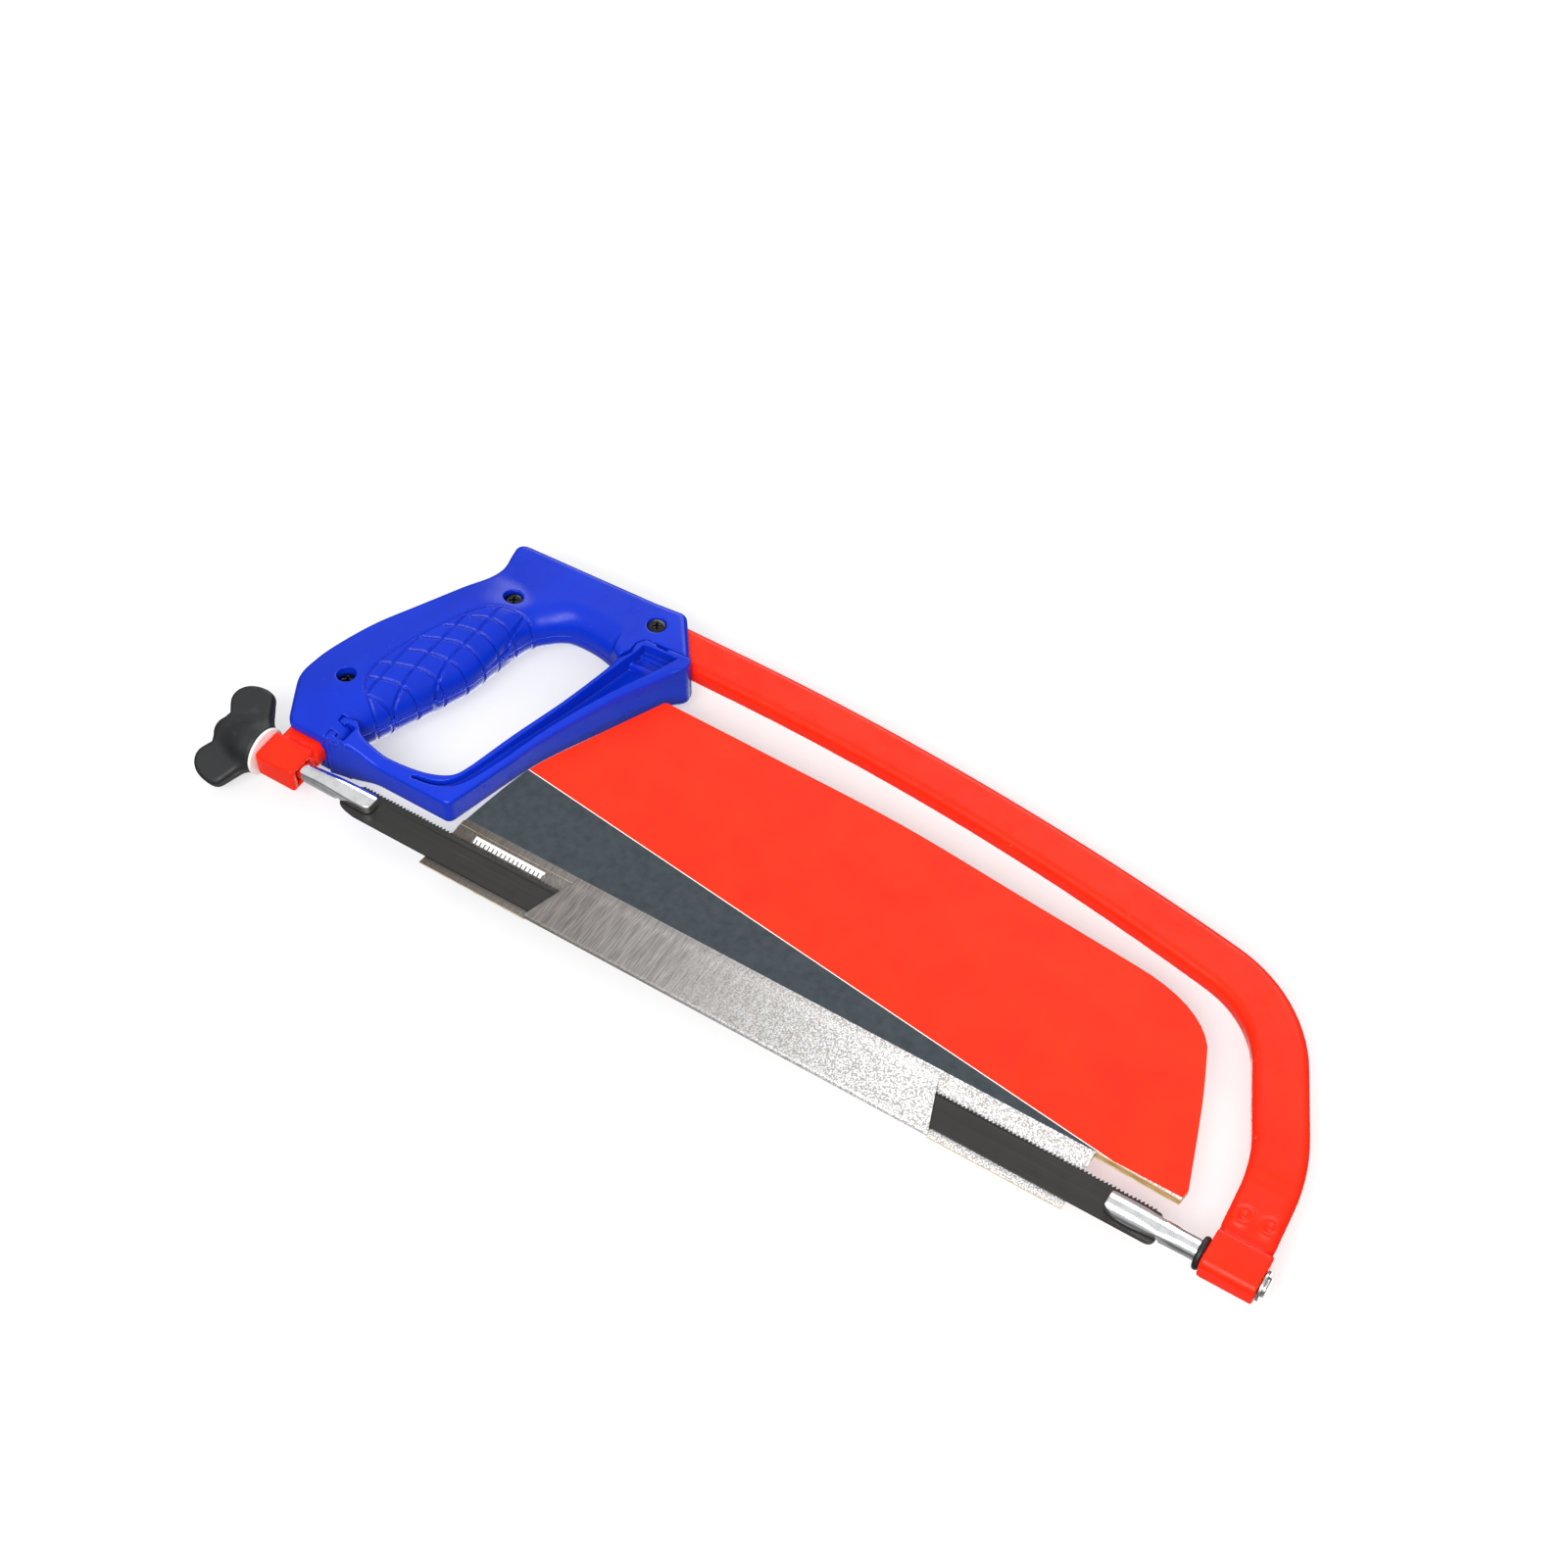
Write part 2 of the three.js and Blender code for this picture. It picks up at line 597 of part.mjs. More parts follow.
function bladePin(x) {
  const radius = PIN_DIAMETER / 2;
  return turnedAboutY([
    [HOLDER_FACE - 2.5, 0], [HOLDER_FACE - 2.5, radius], [PIN_REACH - 0.5, radius], [PIN_REACH, radius - 0.5],
    [PIN_REACH, 0],
  ], { x, segments: 20 });
}

function retainingRing() {
  const face = FRONT_SOCKET.to + 0.25;
  return turnedAboutX([
    [face, RING_INNER], [face, RING_OUTER], [face + 0.8, RING_OUTER], [face + 1, RING_OUTER - 0.4],
    [face + 1, RING_INNER], [face, RING_INNER],
  ]);
}

function oRing() {
  const thick = 2.2;
  const middle = FRONT_SOCKET.from - 0.1 - thick / 2;
  const inner = FRONT_SHANK_DIAMETER / 2 + 0.05;
  const sides = 8;
  const profile = Array.from({ length: sides + 1 }, (_, index) => {
    const angle = (index / sides) * 2 * Math.PI;
    return [middle - Math.sin(angle) * thick / 2, inner + thick / 2 - Math.cos(angle) * thick / 2];
  });
  return turnedAboutX(profile);
}

function washer() {
  const { from, to, outer } = WASHER;
  const inner = SHANK_DIAMETER / 2 + 0.2;
  const profile = [[from, inner], [from, outer], [to, outer], [to, inner], [from, inner]];
  return turnedAboutX(profile, { segments: 32 });
}

// ---------- wing nut ----------

function hexagon(acrossFlats) {
  const radius = acrossFlats / Math.sqrt(3);
  return new THREE.Shape(Array.from({ length: 6 }, (_, index) => {
    const angle = (index / 6) * 2 * Math.PI;
    return new THREE.Vector2(Math.cos(angle) * radius, Math.sin(angle) * radius);
  }));
}

function wingOutline() {
  const shape = new THREE.Shape();
  const rear = NUT_FACE - NUT_LENGTH;
  shape.moveTo(NUT_FACE - 1, -5);
  shape.lineTo(NUT_FACE - 1, 6.4);
  shape.lineTo(NUT_FACE - 6.4, WING_REACH - 2.6);
  shape.quadraticCurveTo(NUT_FACE - 7.6, WING_REACH, NUT_FACE - 10.6, WING_REACH);
  shape.bezierCurveTo(rear + 2.4, WING_REACH, rear - 1.4, WING_REACH - 4.6, rear, WING_REACH - 9);
  shape.quadraticCurveTo(rear + 1.4, 7.6, rear + 2.6, 6);
  shape.lineTo(rear + 2.6, -5);
  shape.closePath();
  return shape;
}

function wingNutBody() {
  const rear = NUT_FACE - NUT_LENGTH;
  const hub = turnedAboutX([
    [rear + 0.6, 0], [rear + 0.6, 3.4], [rear + 2, 6], [rear + 7, 7.2], [NUT_FACE - 3, 8.6], [NUT_FACE, 8.6],
    [NUT_FACE, 0],
  ], { segments: 32 });
  const half = WING_THICKNESS / 2;
  const wing = extrudeAcross(wingOutline(), -half, half, { edge: 1.6, edgeSegments: 2, curveSegments: 6 });
  const both = join(hub, wing, wing.rotate([180, 0, 0]));
  const pocketEnd = NUT_FACE - INSERT_LENGTH - 0.1;
  const pocket = extrudeAlong(hexagon(INSERT_ACROSS_FLATS + 0.1), pocketEnd, NUT_FACE + 1);
  const blind = rodX(rear + 3, NUT_FACE, THREAD_BORE + 0.8, { segments: 20 });
  return cut(both, pocket, blind).rotate([WING_TURN, 0, 0]);
}

function wingNutInsert() {
  const hex = extrudeAlong(hexagon(INSERT_ACROSS_FLATS), NUT_FACE - INSERT_LENGTH, NUT_FACE);
  const bore = rodX(NUT_FACE - INSERT_LENGTH - 1, NUT_FACE + 1, THREAD_BORE);
  return cut(hex, bore).rotate([WING_TURN, 0, 0]);
}

// ---------- retail card ----------

function cardPanel() {
  const shape = new THREE.Shape();
  shape.moveTo(40.5, 7.4);
  curveThrough(shape, [[46.6, 41], [56.8, 64.6], [69.8, 91.8]]);
  curveThrough(shape, [[118, 91.8], [168, 90.6], [220, 86], [262, 82.2]]);
  shape.bezierCurveTo(279, 81.6, 289.4, 79, 295.6, 66.6);
  curveThrough(shape, [[303.6, 47], [314, 16.6]]);
  shape.lineTo(313.4, 12.6);
  shape.lineTo(283.4, 13.6);
  shape.lineTo(283.4, 7.4);
  shape.closePath();
  return shape;
}

// The card passes behind the blade at both ends and in front of it between two slanted slits.
function retailCard() {
  const half = CARD_THICKNESS / 2;
  const panel = extrudeAcross(cardPanel(), -half, half, { curveSegments: 4 });
  const near = BLADE_THICKNESS / 2 + 0.15;
  const strip = (corners, from, to) => extrudeAcross(
    new THREE.Shape(corners.map(([x, z]) => new THREE.Vector2(x, z))), from, to);
  const front = strip([[88, 12], [81, -CARD_LIP], [236, -CARD_LIP], [228, 12]], -near - CARD_LAYER, -near);
  const rearLip = strip([[41, 12], [38, -CARD_LIP], [82, -CARD_LIP], [88, 12]], near, near + CARD_LAYER);
  const frontCorners = [[228, 12], [235, -CARD_LIP], [283.4, -CARD_LIP], [283.4, 12]];
  const frontLip = strip(frontCorners, near, near + CARD_LAYER);
  const fold = strip(
    [[81, -BLADE_WIDTH / 2 - 0.6], [81, -CARD_LIP], [236, -CARD_LIP], [236, -BLADE_WIDTH / 2 - 0.6]],
    -near - CARD_LAYER, near + CARD_LAYER);
  return join(panel, front, rearLip, frontLip, fold);
}

// ---------- assembly ----------

const hacksaw = new THREE.Group();

function addPart(name, solid, color, roughness, metalness) {
  const material = new THREE.MeshStandardMaterial({ color, roughness, metalness });
  const mesh = new THREE.Mesh(toGeometry(solid), material);
  mesh.name = name;
  hacksaw.add(mesh);
}

addPart('frame_tube', frameTube(), COLOURS.powderRed, 0.35, 0);
addPart('handle_shell_left', handleShell(-1), COLOURS.plasticBlue, 0.35, 0);
addPart('handle_shell_right', handleShell(1), COLOURS.plasticBlue, 0.35, 0);
addPart('knuckle_guard', knuckleGuard(), COLOURS.plasticBlue, 0.35, 0);
for (const [name, place] of Object.entries(SCREW_PLACES)) {
  addPart(`handle_screw_${name}`, handleScrew(place), COLOURS.screwBlack, 0.3, 0.9);
}
addPart('tension_bolt', tensionBolt(), COLOURS.chrome, 0.15, 1);
addPart('rear_blade_pin', bladePin(PIN_INSET), COLOURS.zinc, 0.35, 1);
addPart('front_holder', frontHolder(), COLOURS.chrome, 0.15, 1);
addPart('front_blade_pin', bladePin(BLADE_LENGTH - PIN_INSET), COLOURS.zinc, 0.35, 1);
addPart('retaining_ring', retainingRing(), COLOURS.zinc, 0.3, 1);
addPart('o_ring', oRing(), COLOURS.rubber, 0.6, 0);
addPart('washer', washer(), COLOURS.nylonWhite, 0.4, 0);
addPart('wing_nut_body', wingNutBody(), COLOURS.plasticBlack, 0.6, 0);
addPart('wing_nut_insert', wingNutInsert(), COLOURS.zinc, 0.4, 1);
addPart('blade', blade(), COLOURS.bladeBlack, 0.5, 0.6);
addPart('retail_card', retailCard(), COLOURS.card, 0.5, 0);

const middle = new THREE.Box3().setFromObject(hacksaw).getCenter(new THREE.Vector3());
hacksaw.position.copy(middle).negate();
hacksaw.updateMatrixWorld(true);

export default hacksaw;
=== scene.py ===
"""A D-handled hacksaw with its blade and retail card, lying on its side on a pale floor.

Sizes are in millimetres in the saw's own axes: X runs along the blade from the handle to the
front, Z from the blade to the spine, and Y = 0 is the middle plane; the side that is looked at
faces -Y. X = 0 is the blade's rear end and Z = 0 its middle, which is how the frame is found.
"""

import functools
import math

import bpy
import numpy as np
from mathutils import Matrix, Vector


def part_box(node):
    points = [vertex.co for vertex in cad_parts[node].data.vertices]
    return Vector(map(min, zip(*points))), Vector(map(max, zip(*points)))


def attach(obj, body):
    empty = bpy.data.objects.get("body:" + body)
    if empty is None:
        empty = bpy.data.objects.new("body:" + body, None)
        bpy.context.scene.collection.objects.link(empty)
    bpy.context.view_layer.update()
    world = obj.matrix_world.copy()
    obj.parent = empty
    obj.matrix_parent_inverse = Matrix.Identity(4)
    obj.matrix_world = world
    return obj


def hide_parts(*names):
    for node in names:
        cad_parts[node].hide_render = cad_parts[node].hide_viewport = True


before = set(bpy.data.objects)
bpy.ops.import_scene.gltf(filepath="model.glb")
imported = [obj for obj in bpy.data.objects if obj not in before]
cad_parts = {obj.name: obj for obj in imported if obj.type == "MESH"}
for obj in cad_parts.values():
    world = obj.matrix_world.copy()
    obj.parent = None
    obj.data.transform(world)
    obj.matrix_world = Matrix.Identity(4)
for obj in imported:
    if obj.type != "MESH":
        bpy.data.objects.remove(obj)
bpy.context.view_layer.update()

blade_low, blade_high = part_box("blade")
ORIGIN = Vector((blade_low.x, (blade_low.y + blade_high.y) / 2, (blade_low.z + blade_high.z) / 2))
MM = 0.001


# ---------- outlines in the saw's middle plane ----------

class Outline:
    """A path of (x, z) points made of lines, bends and smooth curves."""

    def __init__(self, x, z):
        self.points = [(x, z)]

    def line(self, *points):
        self.points.extend(points)
        return self

    def bend(self, corner, end, steps=8):
        start = self.points[-1]
        for step in range(1, steps + 1):
            t = step / steps
            self.points.append(tuple(
                (1 - t) ** 2 * a + 2 * t * (1 - t) * b + t * t * c for a, b, c in zip(start, corner, end)))
        return self

    def curve(self, *points, steps=6):
        """A smooth curve from the last point through the given ones."""
        knots = np.array([self.points[-1], *points], float)
        padded = np.vstack([knots[:1], knots, knots[-1:]])
        for before, a, b, after in zip(padded, padded[1:], padded[2:], padded[3:]):
            for step in range(1, steps + 1):
                t = step / steps
                start_pull, end_pull = (b - before) / 2, (after - a) / 2
                point = ((2 * a - 2 * b + start_pull + end_pull) * t ** 3
                         + (-3 * a + 3 * b - 2 * start_pull - end_pull) * t ** 2 + start_pull * t + a)
                self.points.append(tuple(point))
        return self

    def array(self):
        return np.array(self.points, float)


def smooth_step(low, high, value):
    t = np.clip((value - low) / (high - low), 0, 1)
    return t * t * (3 - 2 * t)


# ---------- solids as fields of signed distances ----------

class Grid:
    """Points in a box of the saw's own millimetre axes; x, y and z broadcast to the whole box."""

    def __init__(self, low, high, step):
        self.low = np.array(low, float)
        self.step = step
        counts = [int(math.ceil((b - a) / step)) + 1 for a, b in zip(low, high)]
        axes = [a + step * np.arange(n) for a, n in zip(low, counts)]
        self.x = axes[0][:, None, None]
        self.y = axes[1][None, :, None]
        self.z = axes[2][None, None, :]

    def distance(self, points, closed=True):
        """Distance in (X, Z) to a path; a closed path gives negative values inside it."""
        x, z = self.x, self.z
        nearest = np.full((x.size, 1, z.size), 1e9)
        inside = np.zeros(nearest.shape, bool)
        ends = np.roll(points, -1, axis=0) if closed else points[1:]
        for (ax, az), (bx, bz) in zip(points, ends):
            run, rise = bx - ax, bz - az
            length = run * run + rise * rise
            if length < 1e-12:
                continue
            t = np.clip(((x - ax) * run + (z - az) * rise) / length, 0, 1)
            nearest = np.minimum(nearest, (x - ax - t * run) ** 2 + (z - az - t * rise) ** 2)
            if closed and rise != 0:
                inside ^= ((az <= z) != (bz <= z)) & (x < ax + run * (z - az) / rise)
        distance = np.sqrt(nearest)
        return np.where(inside, -distance, distance)

    def round_y(self, x, z):
        """Distance from a line that runs along Y."""
        return np.hypot(self.x - x, self.z - z)

    def round_x(self, y=0.0, z=0.0):
        """Distance from a line that runs along X."""
        return np.hypot(self.y - y, self.z - z)


def rounded_both(a, b, radius):
    """The overlap of two solids, with the edge where they meet rounded off."""
    a, b = a + radius, b + radius
    return np.minimum(np.maximum(a, b), 0) + np.hypot(np.maximum(a, 0), np.maximum(b, 0)) - radius


def soft_max(a, b, reach):
    share = np.clip(0.5 + 0.5 * (a - b) / reach, 0, 1)
    return a * share + b * (1 - share) + reach * share * (1 - share)


def soft_min(a, b, reach):
    return -soft_max(-a, -b, reach)


def overlap(*solids):
    return functools.reduce(np.maximum, solids)


def between(value, low, high):
    """Distance outside a slab between two levels."""
    return np.abs(value - (low + high) / 2) - (high - low) / 2


def carve(solid, tool, reach=0.3):
    return soft_max(solid, -tool, reach)


def surface(grid, field):
    """The zero surface of a field: one vertex in each crossed cell, one quad for each crossed edge."""
    field = np.pad(field.astype(np.float32), 1, constant_values=5.0)
    shape = tuple(n - 1 for n in field.shape)
    hits = np.zeros(math.prod(shape))
    total = np.zeros((hits.size, 3))
    quads = []
    for axis in range(3):
        u, v = (axis + 1) % 3, (axis + 2) % 3
        here = [slice(None)] * 3
        there = [slice(None)] * 3
        here[axis], there[axis] = slice(None, -1), slice(1, None)
        low, high = field[tuple(here)], field[tuple(there)]
        spots = np.argwhere((low < 0) != (high < 0))
        f0, f1 = low[tuple(spots.T)], high[tuple(spots.T)]
        crossing = spots.astype(float)
        crossing[:, axis] += f0 / (f0 - f1)
        ids = []
        for du, dv in ((0, 0), (-1, 0), (-1, -1), (0, -1)):
            cell = spots.copy()
            cell[:, u] += du
            cell[:, v] += dv
            ids.append(np.ravel_multi_index(tuple(cell.T), shape))
        for cells in ids:
            hits += np.bincount(cells, minlength=hits.size)
            for k in range(3):
                total[:, k] += np.bincount(cells, crossing[:, k], minlength=hits.size)
        quad = np.stack(ids, axis=1)
        quad[f0 > 0] = quad[f0 > 0][:, ::-1]
        quads.append(quad)
    used = np.flatnonzero(hits)
    number = np.zeros(hits.size, int)
    number[used] = np.arange(used.size)
    points = (total[used] / hits[used, None] - 1) * grid.step + grid.low
    return points, number[np.vstack(quads)]


# ---------- pieces ----------

# each visible piece: the body it rides, the piece of the frame it stands for, its material slot
PIECES = {
    "red_frame_tube": ("frame", "frame_tube", "frame_red"),
    "blue_grip_left": ("frame", "handle_shell_left", "handle_blue"),
    "blue_grip_right": ("frame", "handle_shell_right", "handle_blue"),
    "blue_knuckle_guard": ("frame", "knuckle_guard", "handle_blue"),
    "black_screw_rear": ("frame", "handle_screw_rear", "screw_black"),
    "black_screw_middle": ("frame", "handle_screw_middle", "screw_black"),
    "black_screw_front": ("frame", "handle_screw_front", "screw_black"),
    "white_washer": ("frame", "washer", "washer_white"),
    "black_wing_nut": ("wing_nut", "wing_nut_body", "wing_nut_black"),
    "zinc_thread_insert": ("wing_nut", "wing_nut_insert", "zinc_steel"),
    "black_o_ring": ("shank_seal", "o_ring", "o_ring_rubber"),
    "zinc_retaining_ring": ("blade_string", "retaining_ring", "zinc_steel"),
    "dark_blade": ("blade_string", "blade", "blade_black"),
    "chrome_tension_bolt": ("blade_string", "tension_bolt", "holder_chrome"),
    "chrome_front_holder": ("blade_string", "front_holder", "holder_chrome"),
    "zinc_rear_blade_pin": ("blade_string", "rear_blade_pin", "zinc_steel"),
    "zinc_front_blade_pin": ("blade_string", "front_blade_pin", "zinc_steel"),
    "card": ("blade_string", "retail_card", "printed_card"),
}
SMOOTH = 60
CRISP = 30


def put(name, data):
    """A new object in the scene."""
    thing = bpy.data.objects.new(name, data)
    bpy.context.scene.collection.objects.link(thing)
    return thing


def add_piece(name, points, faces, material, sharp=35):
    """A mesh from points in the saw's axes; edges sharper than an angle in degrees stay crisp."""
    body, node, slot = PIECES["card" if name.startswith("card") else name]
    mesh = bpy.data.meshes.new(name)
    placed = np.asarray(points) * MM + np.array(ORIGIN)
    mesh.from_pydata(placed.tolist(), [], [tuple(map(int, face)) for face in faces])
    mesh.update()
    mesh.shade_smooth()
    mesh.set_sharp_from_angle(angle=math.radians(sharp))
    mesh.materials.append(material)
    piece = put(name, mesh)
    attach(piece, body)
    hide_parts(node)
    return piece


def turned(profile, sides=64, axis="x", centre=(0.0, 0.0, 0.0)):
    """A closed (along, radius) profile turned about a line along X or Y."""
    profile = np.array(profile, float)
    angles = np.linspace(0, 2 * math.pi, sides, endpoint=False)
    along = np.repeat(profile[:, 0], sides)
    a = (profile[:, 1][:, None] * np.cos(angles)).ravel()
    b = (profile[:, 1][:, None] * np.sin(angles)).ravel()
    points = np.stack([along, a, b], 1) if axis == "x" else np.stack([b, along, a], 1)
    rows, faces = len(profile), []
    for row in range(rows):
        ahead = (row + 1) % rows
        for side in range(sides):
            turn = (side + 1) % sides
            corners = ((row, side), (ahead, side), (ahead, turn), (row, turn))
            faces.append(tuple(ring * sides + spoke for ring, spoke in corners))
    return points + np.array(centre), outward(points, faces)


def outward(points, faces):
    """The same faces, turned so that the closed mesh they form has a positive volume."""
    corners = points[np.array(faces)]
    volume = 0.0
    for k in range(1, corners.shape[1] - 1):
        volume += np.einsum("ij,ij->i", corners[:, 0], np.cross(corners[:, k], corners[:, k + 1])).sum()
    return faces if volume > 0 else [face[::-1] for face in faces]


# ---------- finishes ----------

def srgb(code):
    """A hex colour as linear light."""
    channels = [int(code[k:k + 2], 16) / 255 for k in (0, 2, 4)]
    return tuple(c / 12.92 if c <= 0.04045 else ((c + 0.055) / 1.055) ** 2.4 for c in channels)


class Nodes:
    """A node tree, with short ways to add nodes and to join them."""

    def __init__(self, tree):
        self.nodes, self.links = tree.nodes, tree.links

    def new(self, kind):
        return self.nodes.new("ShaderNode" + kind)

    def plug(self, value, socket):
        if isinstance(value, bpy.types.NodeSocket):
            self.links.new(value, socket)
        else:
            socket.default_value = value

    def math(self, operation, *values):
        node = self.new("Math")
        node.operation = operation
        for value, socket in zip(values, node.inputs):
            self.plug(value, socket)
        return node.outputs[0]

    def product(self, *factors):
        return functools.reduce(lambda a, b: self.math("MULTIPLY", a, b), factors)


class Finish(Nodes):
    """A node material built up around one Principled shader, in the saw's own millimetres."""

    def __init__(self, name, **values):
        self.material = bpy.data.materials.new(name)
        self.material.use_nodes = True
        super().__init__(self.material.node_tree)
        self.shader = self.nodes["Principled BSDF"]
        for word, value in values.items():
            label = word.replace("_", " ").title().replace("Ior", "IOR")
            self.plug(value, self.shader.inputs[label])
        self.place = self.new("Mapping")
        self.plug(self.new("TexCoord").outputs["Object"], self.place.inputs["Vector"])
        self.plug([-c / MM for c in ORIGIN], self.place.inputs["Location"])
        self.plug((1 / MM,) * 3, self.place.inputs["Scale"])
        self.height = None

    def axes(self):
        node = self.new("SeparateXYZ")
        self.plug(self.place.outputs[0], node.inputs[0])
        return node.outputs

    def edges(self):
        """Above a half on an outer edge, below a half in a groove."""
        return self.new("NewGeometry").outputs["Pointiness"]

    def noise(self, size, detail=3.0, stretch=(1, 1, 1)):
        """Noise with features about size millimetres across, made longer along an axis by stretch."""
        scale = self.new("Mapping")
        self.plug(self.place.outputs[0], scale.inputs["Vector"])
        self.plug([1 / (size * s) for s in stretch], scale.inputs["Scale"])
        node = self.new("TexNoise")
        self.plug(1.0, node.inputs["Scale"])
        self.plug(detail, node.inputs["Detail"])
        self.plug(scale.outputs[0], node.inputs["Vector"])
        return node.outputs[0]

    def spread(self, value, low=0.3, high=0.7, to_low=0.0, to_high=1.0):
        node = self.new("MapRange")
        for item, socket in zip((value, low, high, to_low, to_high), node.inputs):
            self.plug(item, socket)
        return node.outputs[0]

    def mix(self, share, a, b):
        """A colour between two; each is a hex code or comes from another node."""
        node = self.new("Mix")
        node.data_type = "RGBA"
        self.plug(share, node.inputs[0])
        for side, socket in ((a, node.inputs[6]), (b, node.inputs[7])):
            self.plug((*srgb(side), 1) if isinstance(side, str) else side, socket)
        return node.outputs[2]

    def colour(self, share, a, b):
        self.plug(self.mix(share, a, b), self.shader.inputs["Base Color"])

    def roughness(self, noise, low, high):
        self.plug(self.spread(noise, to_low=low, to_high=high), self.shader.inputs["Roughness"])

    def bump(self, value, depth):
        """Add a relief, depth millimetres high, on top of any that is there."""
        node = self.new("Bump")
        self.plug(1.0, node.inputs["Strength"])
        self.plug(depth * MM, node.inputs["Distance"])
        self.plug(value, node.inputs["Height"])
        if self.height is not None:
            self.plug(self.height, node.inputs["Normal"])
        self.height = node.outputs[0]
        self.plug(self.height, self.shader.inputs["Normal"])
        return self


def powder_coat():
    """Glossy orange-red powder coat: orange peel, a little dust, paler where an edge is worn."""
    paint = Finish("orange_red_powder_coat", specular_ior_level=0.22)
    worn = paint.spread(paint.noise(5), 0.45, 0.7)
    edge_wear_and_highlight = paint.product(paint.spread(paint.edges(), 0.53, 0.6), worn, 0.35)
    cloudy = paint.mix(paint.spread(paint.noise(24)), "fb2203", "f42806")
    paint.colour(edge_wear_and_highlight, cloudy, "ff7a5c")
    paint.roughness(paint.noise(7, 4), 0.26, 0.42)
    return paint.bump(paint.noise(1.3, 2), 0.035).bump(paint.noise(0.35, 2), 0.008).material


def moulded_blue():
    """Satin blue plastic: a fine grain, faint flow marks, a painted highlight on outer edges and painted
    shade in the grooves.
    """
    plastic = Finish("satin_blue_plastic", specular_ior_level=0.24)
    edge = plastic.edges()
    tone = plastic.mix(plastic.spread(plastic.noise(30, 2, (1, 1, 2.5))), "042ab2", "0832c4")
    # paler outer edges: a painted highlight along the edges that catch the light
    edge_wear_and_highlight = plastic.mix(plastic.spread(edge, 0.54, 0.62, 0.0, 0.2), tone, "2f55f0")
    # darker in grooves and engraved lines: painted shade
    plastic.colour(plastic.spread(edge, 0.48, 0.43, 0.0, 0.8), edge_wear_and_highlight, "04125e")
    plastic.roughness(plastic.noise(9, 4), 0.24, 0.36)
    return plastic.bump(plastic.noise(0.45), 0.018).bump(plastic.noise(14, 2), 0.06).material


def matt_black():
    """Matt black moulded plastic with a coarse grain and a few pale scuffs."""
    plastic = Finish("matt_black_plastic")
    scuffs = plastic.spread(plastic.noise(3.5, 6, (3, 1, 1)), 0.62, 0.72, 0, 0.35)
    plastic.colour(scuffs, "17181a", "3a3b3d")
    plastic.roughness(plastic.noise(4, 4), 0.48, 0.64)
    return plastic.bump(plastic.noise(0.4), 0.03).material


def black_screw():
    metal = Finish("black_oxide_steel", metallic=0.7, coat_weight=0.3, coat_roughness=0.12)
    metal.roughness(metal.noise(0.8, 4), 0.08, 0.28)
    metal.colour(metal.spread(metal.noise(1.1), 0.6, 0.75), "141518", "3a3733")
    return metal.bump(metal.noise(0.5, 2), 0.01).material


def white_nylon():
    plastic = Finish("white_nylon", roughness=0.42, subsurface_weight=0.15,
                     subsurface_radius=(0.001, 0.001, 0.0008))
    plastic.colour(plastic.spread(plastic.noise(2.5), 0.4), "f4f3f0", "e6e3dc")
    return plastic.bump(plastic.noise(0.5), 0.012).material


def zinc():
    """Zinc-plated steel with faint turning lines and a cloudy spangle."""
    metal = Finish("zinc_plated_steel", metallic=1.0)
    metal.colour(metal.spread(metal.noise(1.4), 0.35, 0.65), "b3b4b6", "d6d2c6")
    metal.roughness(metal.noise(0.7, 4), 0.2, 0.42)
    return metal.bump(metal.noise(0.25, 2, (0.6, 4, 4)), 0.008).material


def polished_chrome():
    """Bright nickel-chrome over a forged surface: long faint waves and fine polishing lines."""
    metal = Finish("bright_chrome_plate", metallic=1.0)
    metal.colour(metal.spread(metal.noise(3, 4), 0.4), "f8f9fa", "e4e5e6")
    metal.roughness(metal.noise(1.2, 5, (6, 1, 1)), 0.05, 0.2)
    metal.bump(metal.noise(4, 1, (5, 1, 1)), 0.12)
    return metal.bump(metal.noise(0.3, 3, (10, 1, 1)), 0.006).material


def rubber():
    material = Finish("black_rubber")
    material.roughness(material.noise(0.8), 0.42, 0.6)
    material.colour(material.spread(material.noise(1.6), 0.5), "0f1012", "242526")
    return material.bump(material.noise(0.4), 0.02).material


def painted_blade():
    """Dark satin paint over rolled steel; the grain runs along the blade, the tooth tips are bare."""
    steel = Finish("dark_painted_steel", metallic=0.1, specular_ior_level=0.4)
    along = steel.noise(0.8, 3, (60, 1, 1))
    tips = steel.spread(steel.axes()[2], BLADE_HALF - 0.5, BLADE_HALF - 0.1, 0.0, 0.55)
    scratch = steel.spread(steel.noise(2.2, 6, (14, 1, 0.5)), 0.7, 0.78, 0.0, 0.3)
    paint = steel.mix(steel.spread(along), "222120", "292826")
    steel.colour(steel.math("MAXIMUM", tips, scratch), paint, "6c6a66")
    steel.roughness(steel.noise(6, 4), 0.34, 0.52)
    return steel.bump(along, 0.012).bump(steel.noise(0.5, 2), 0.008).material


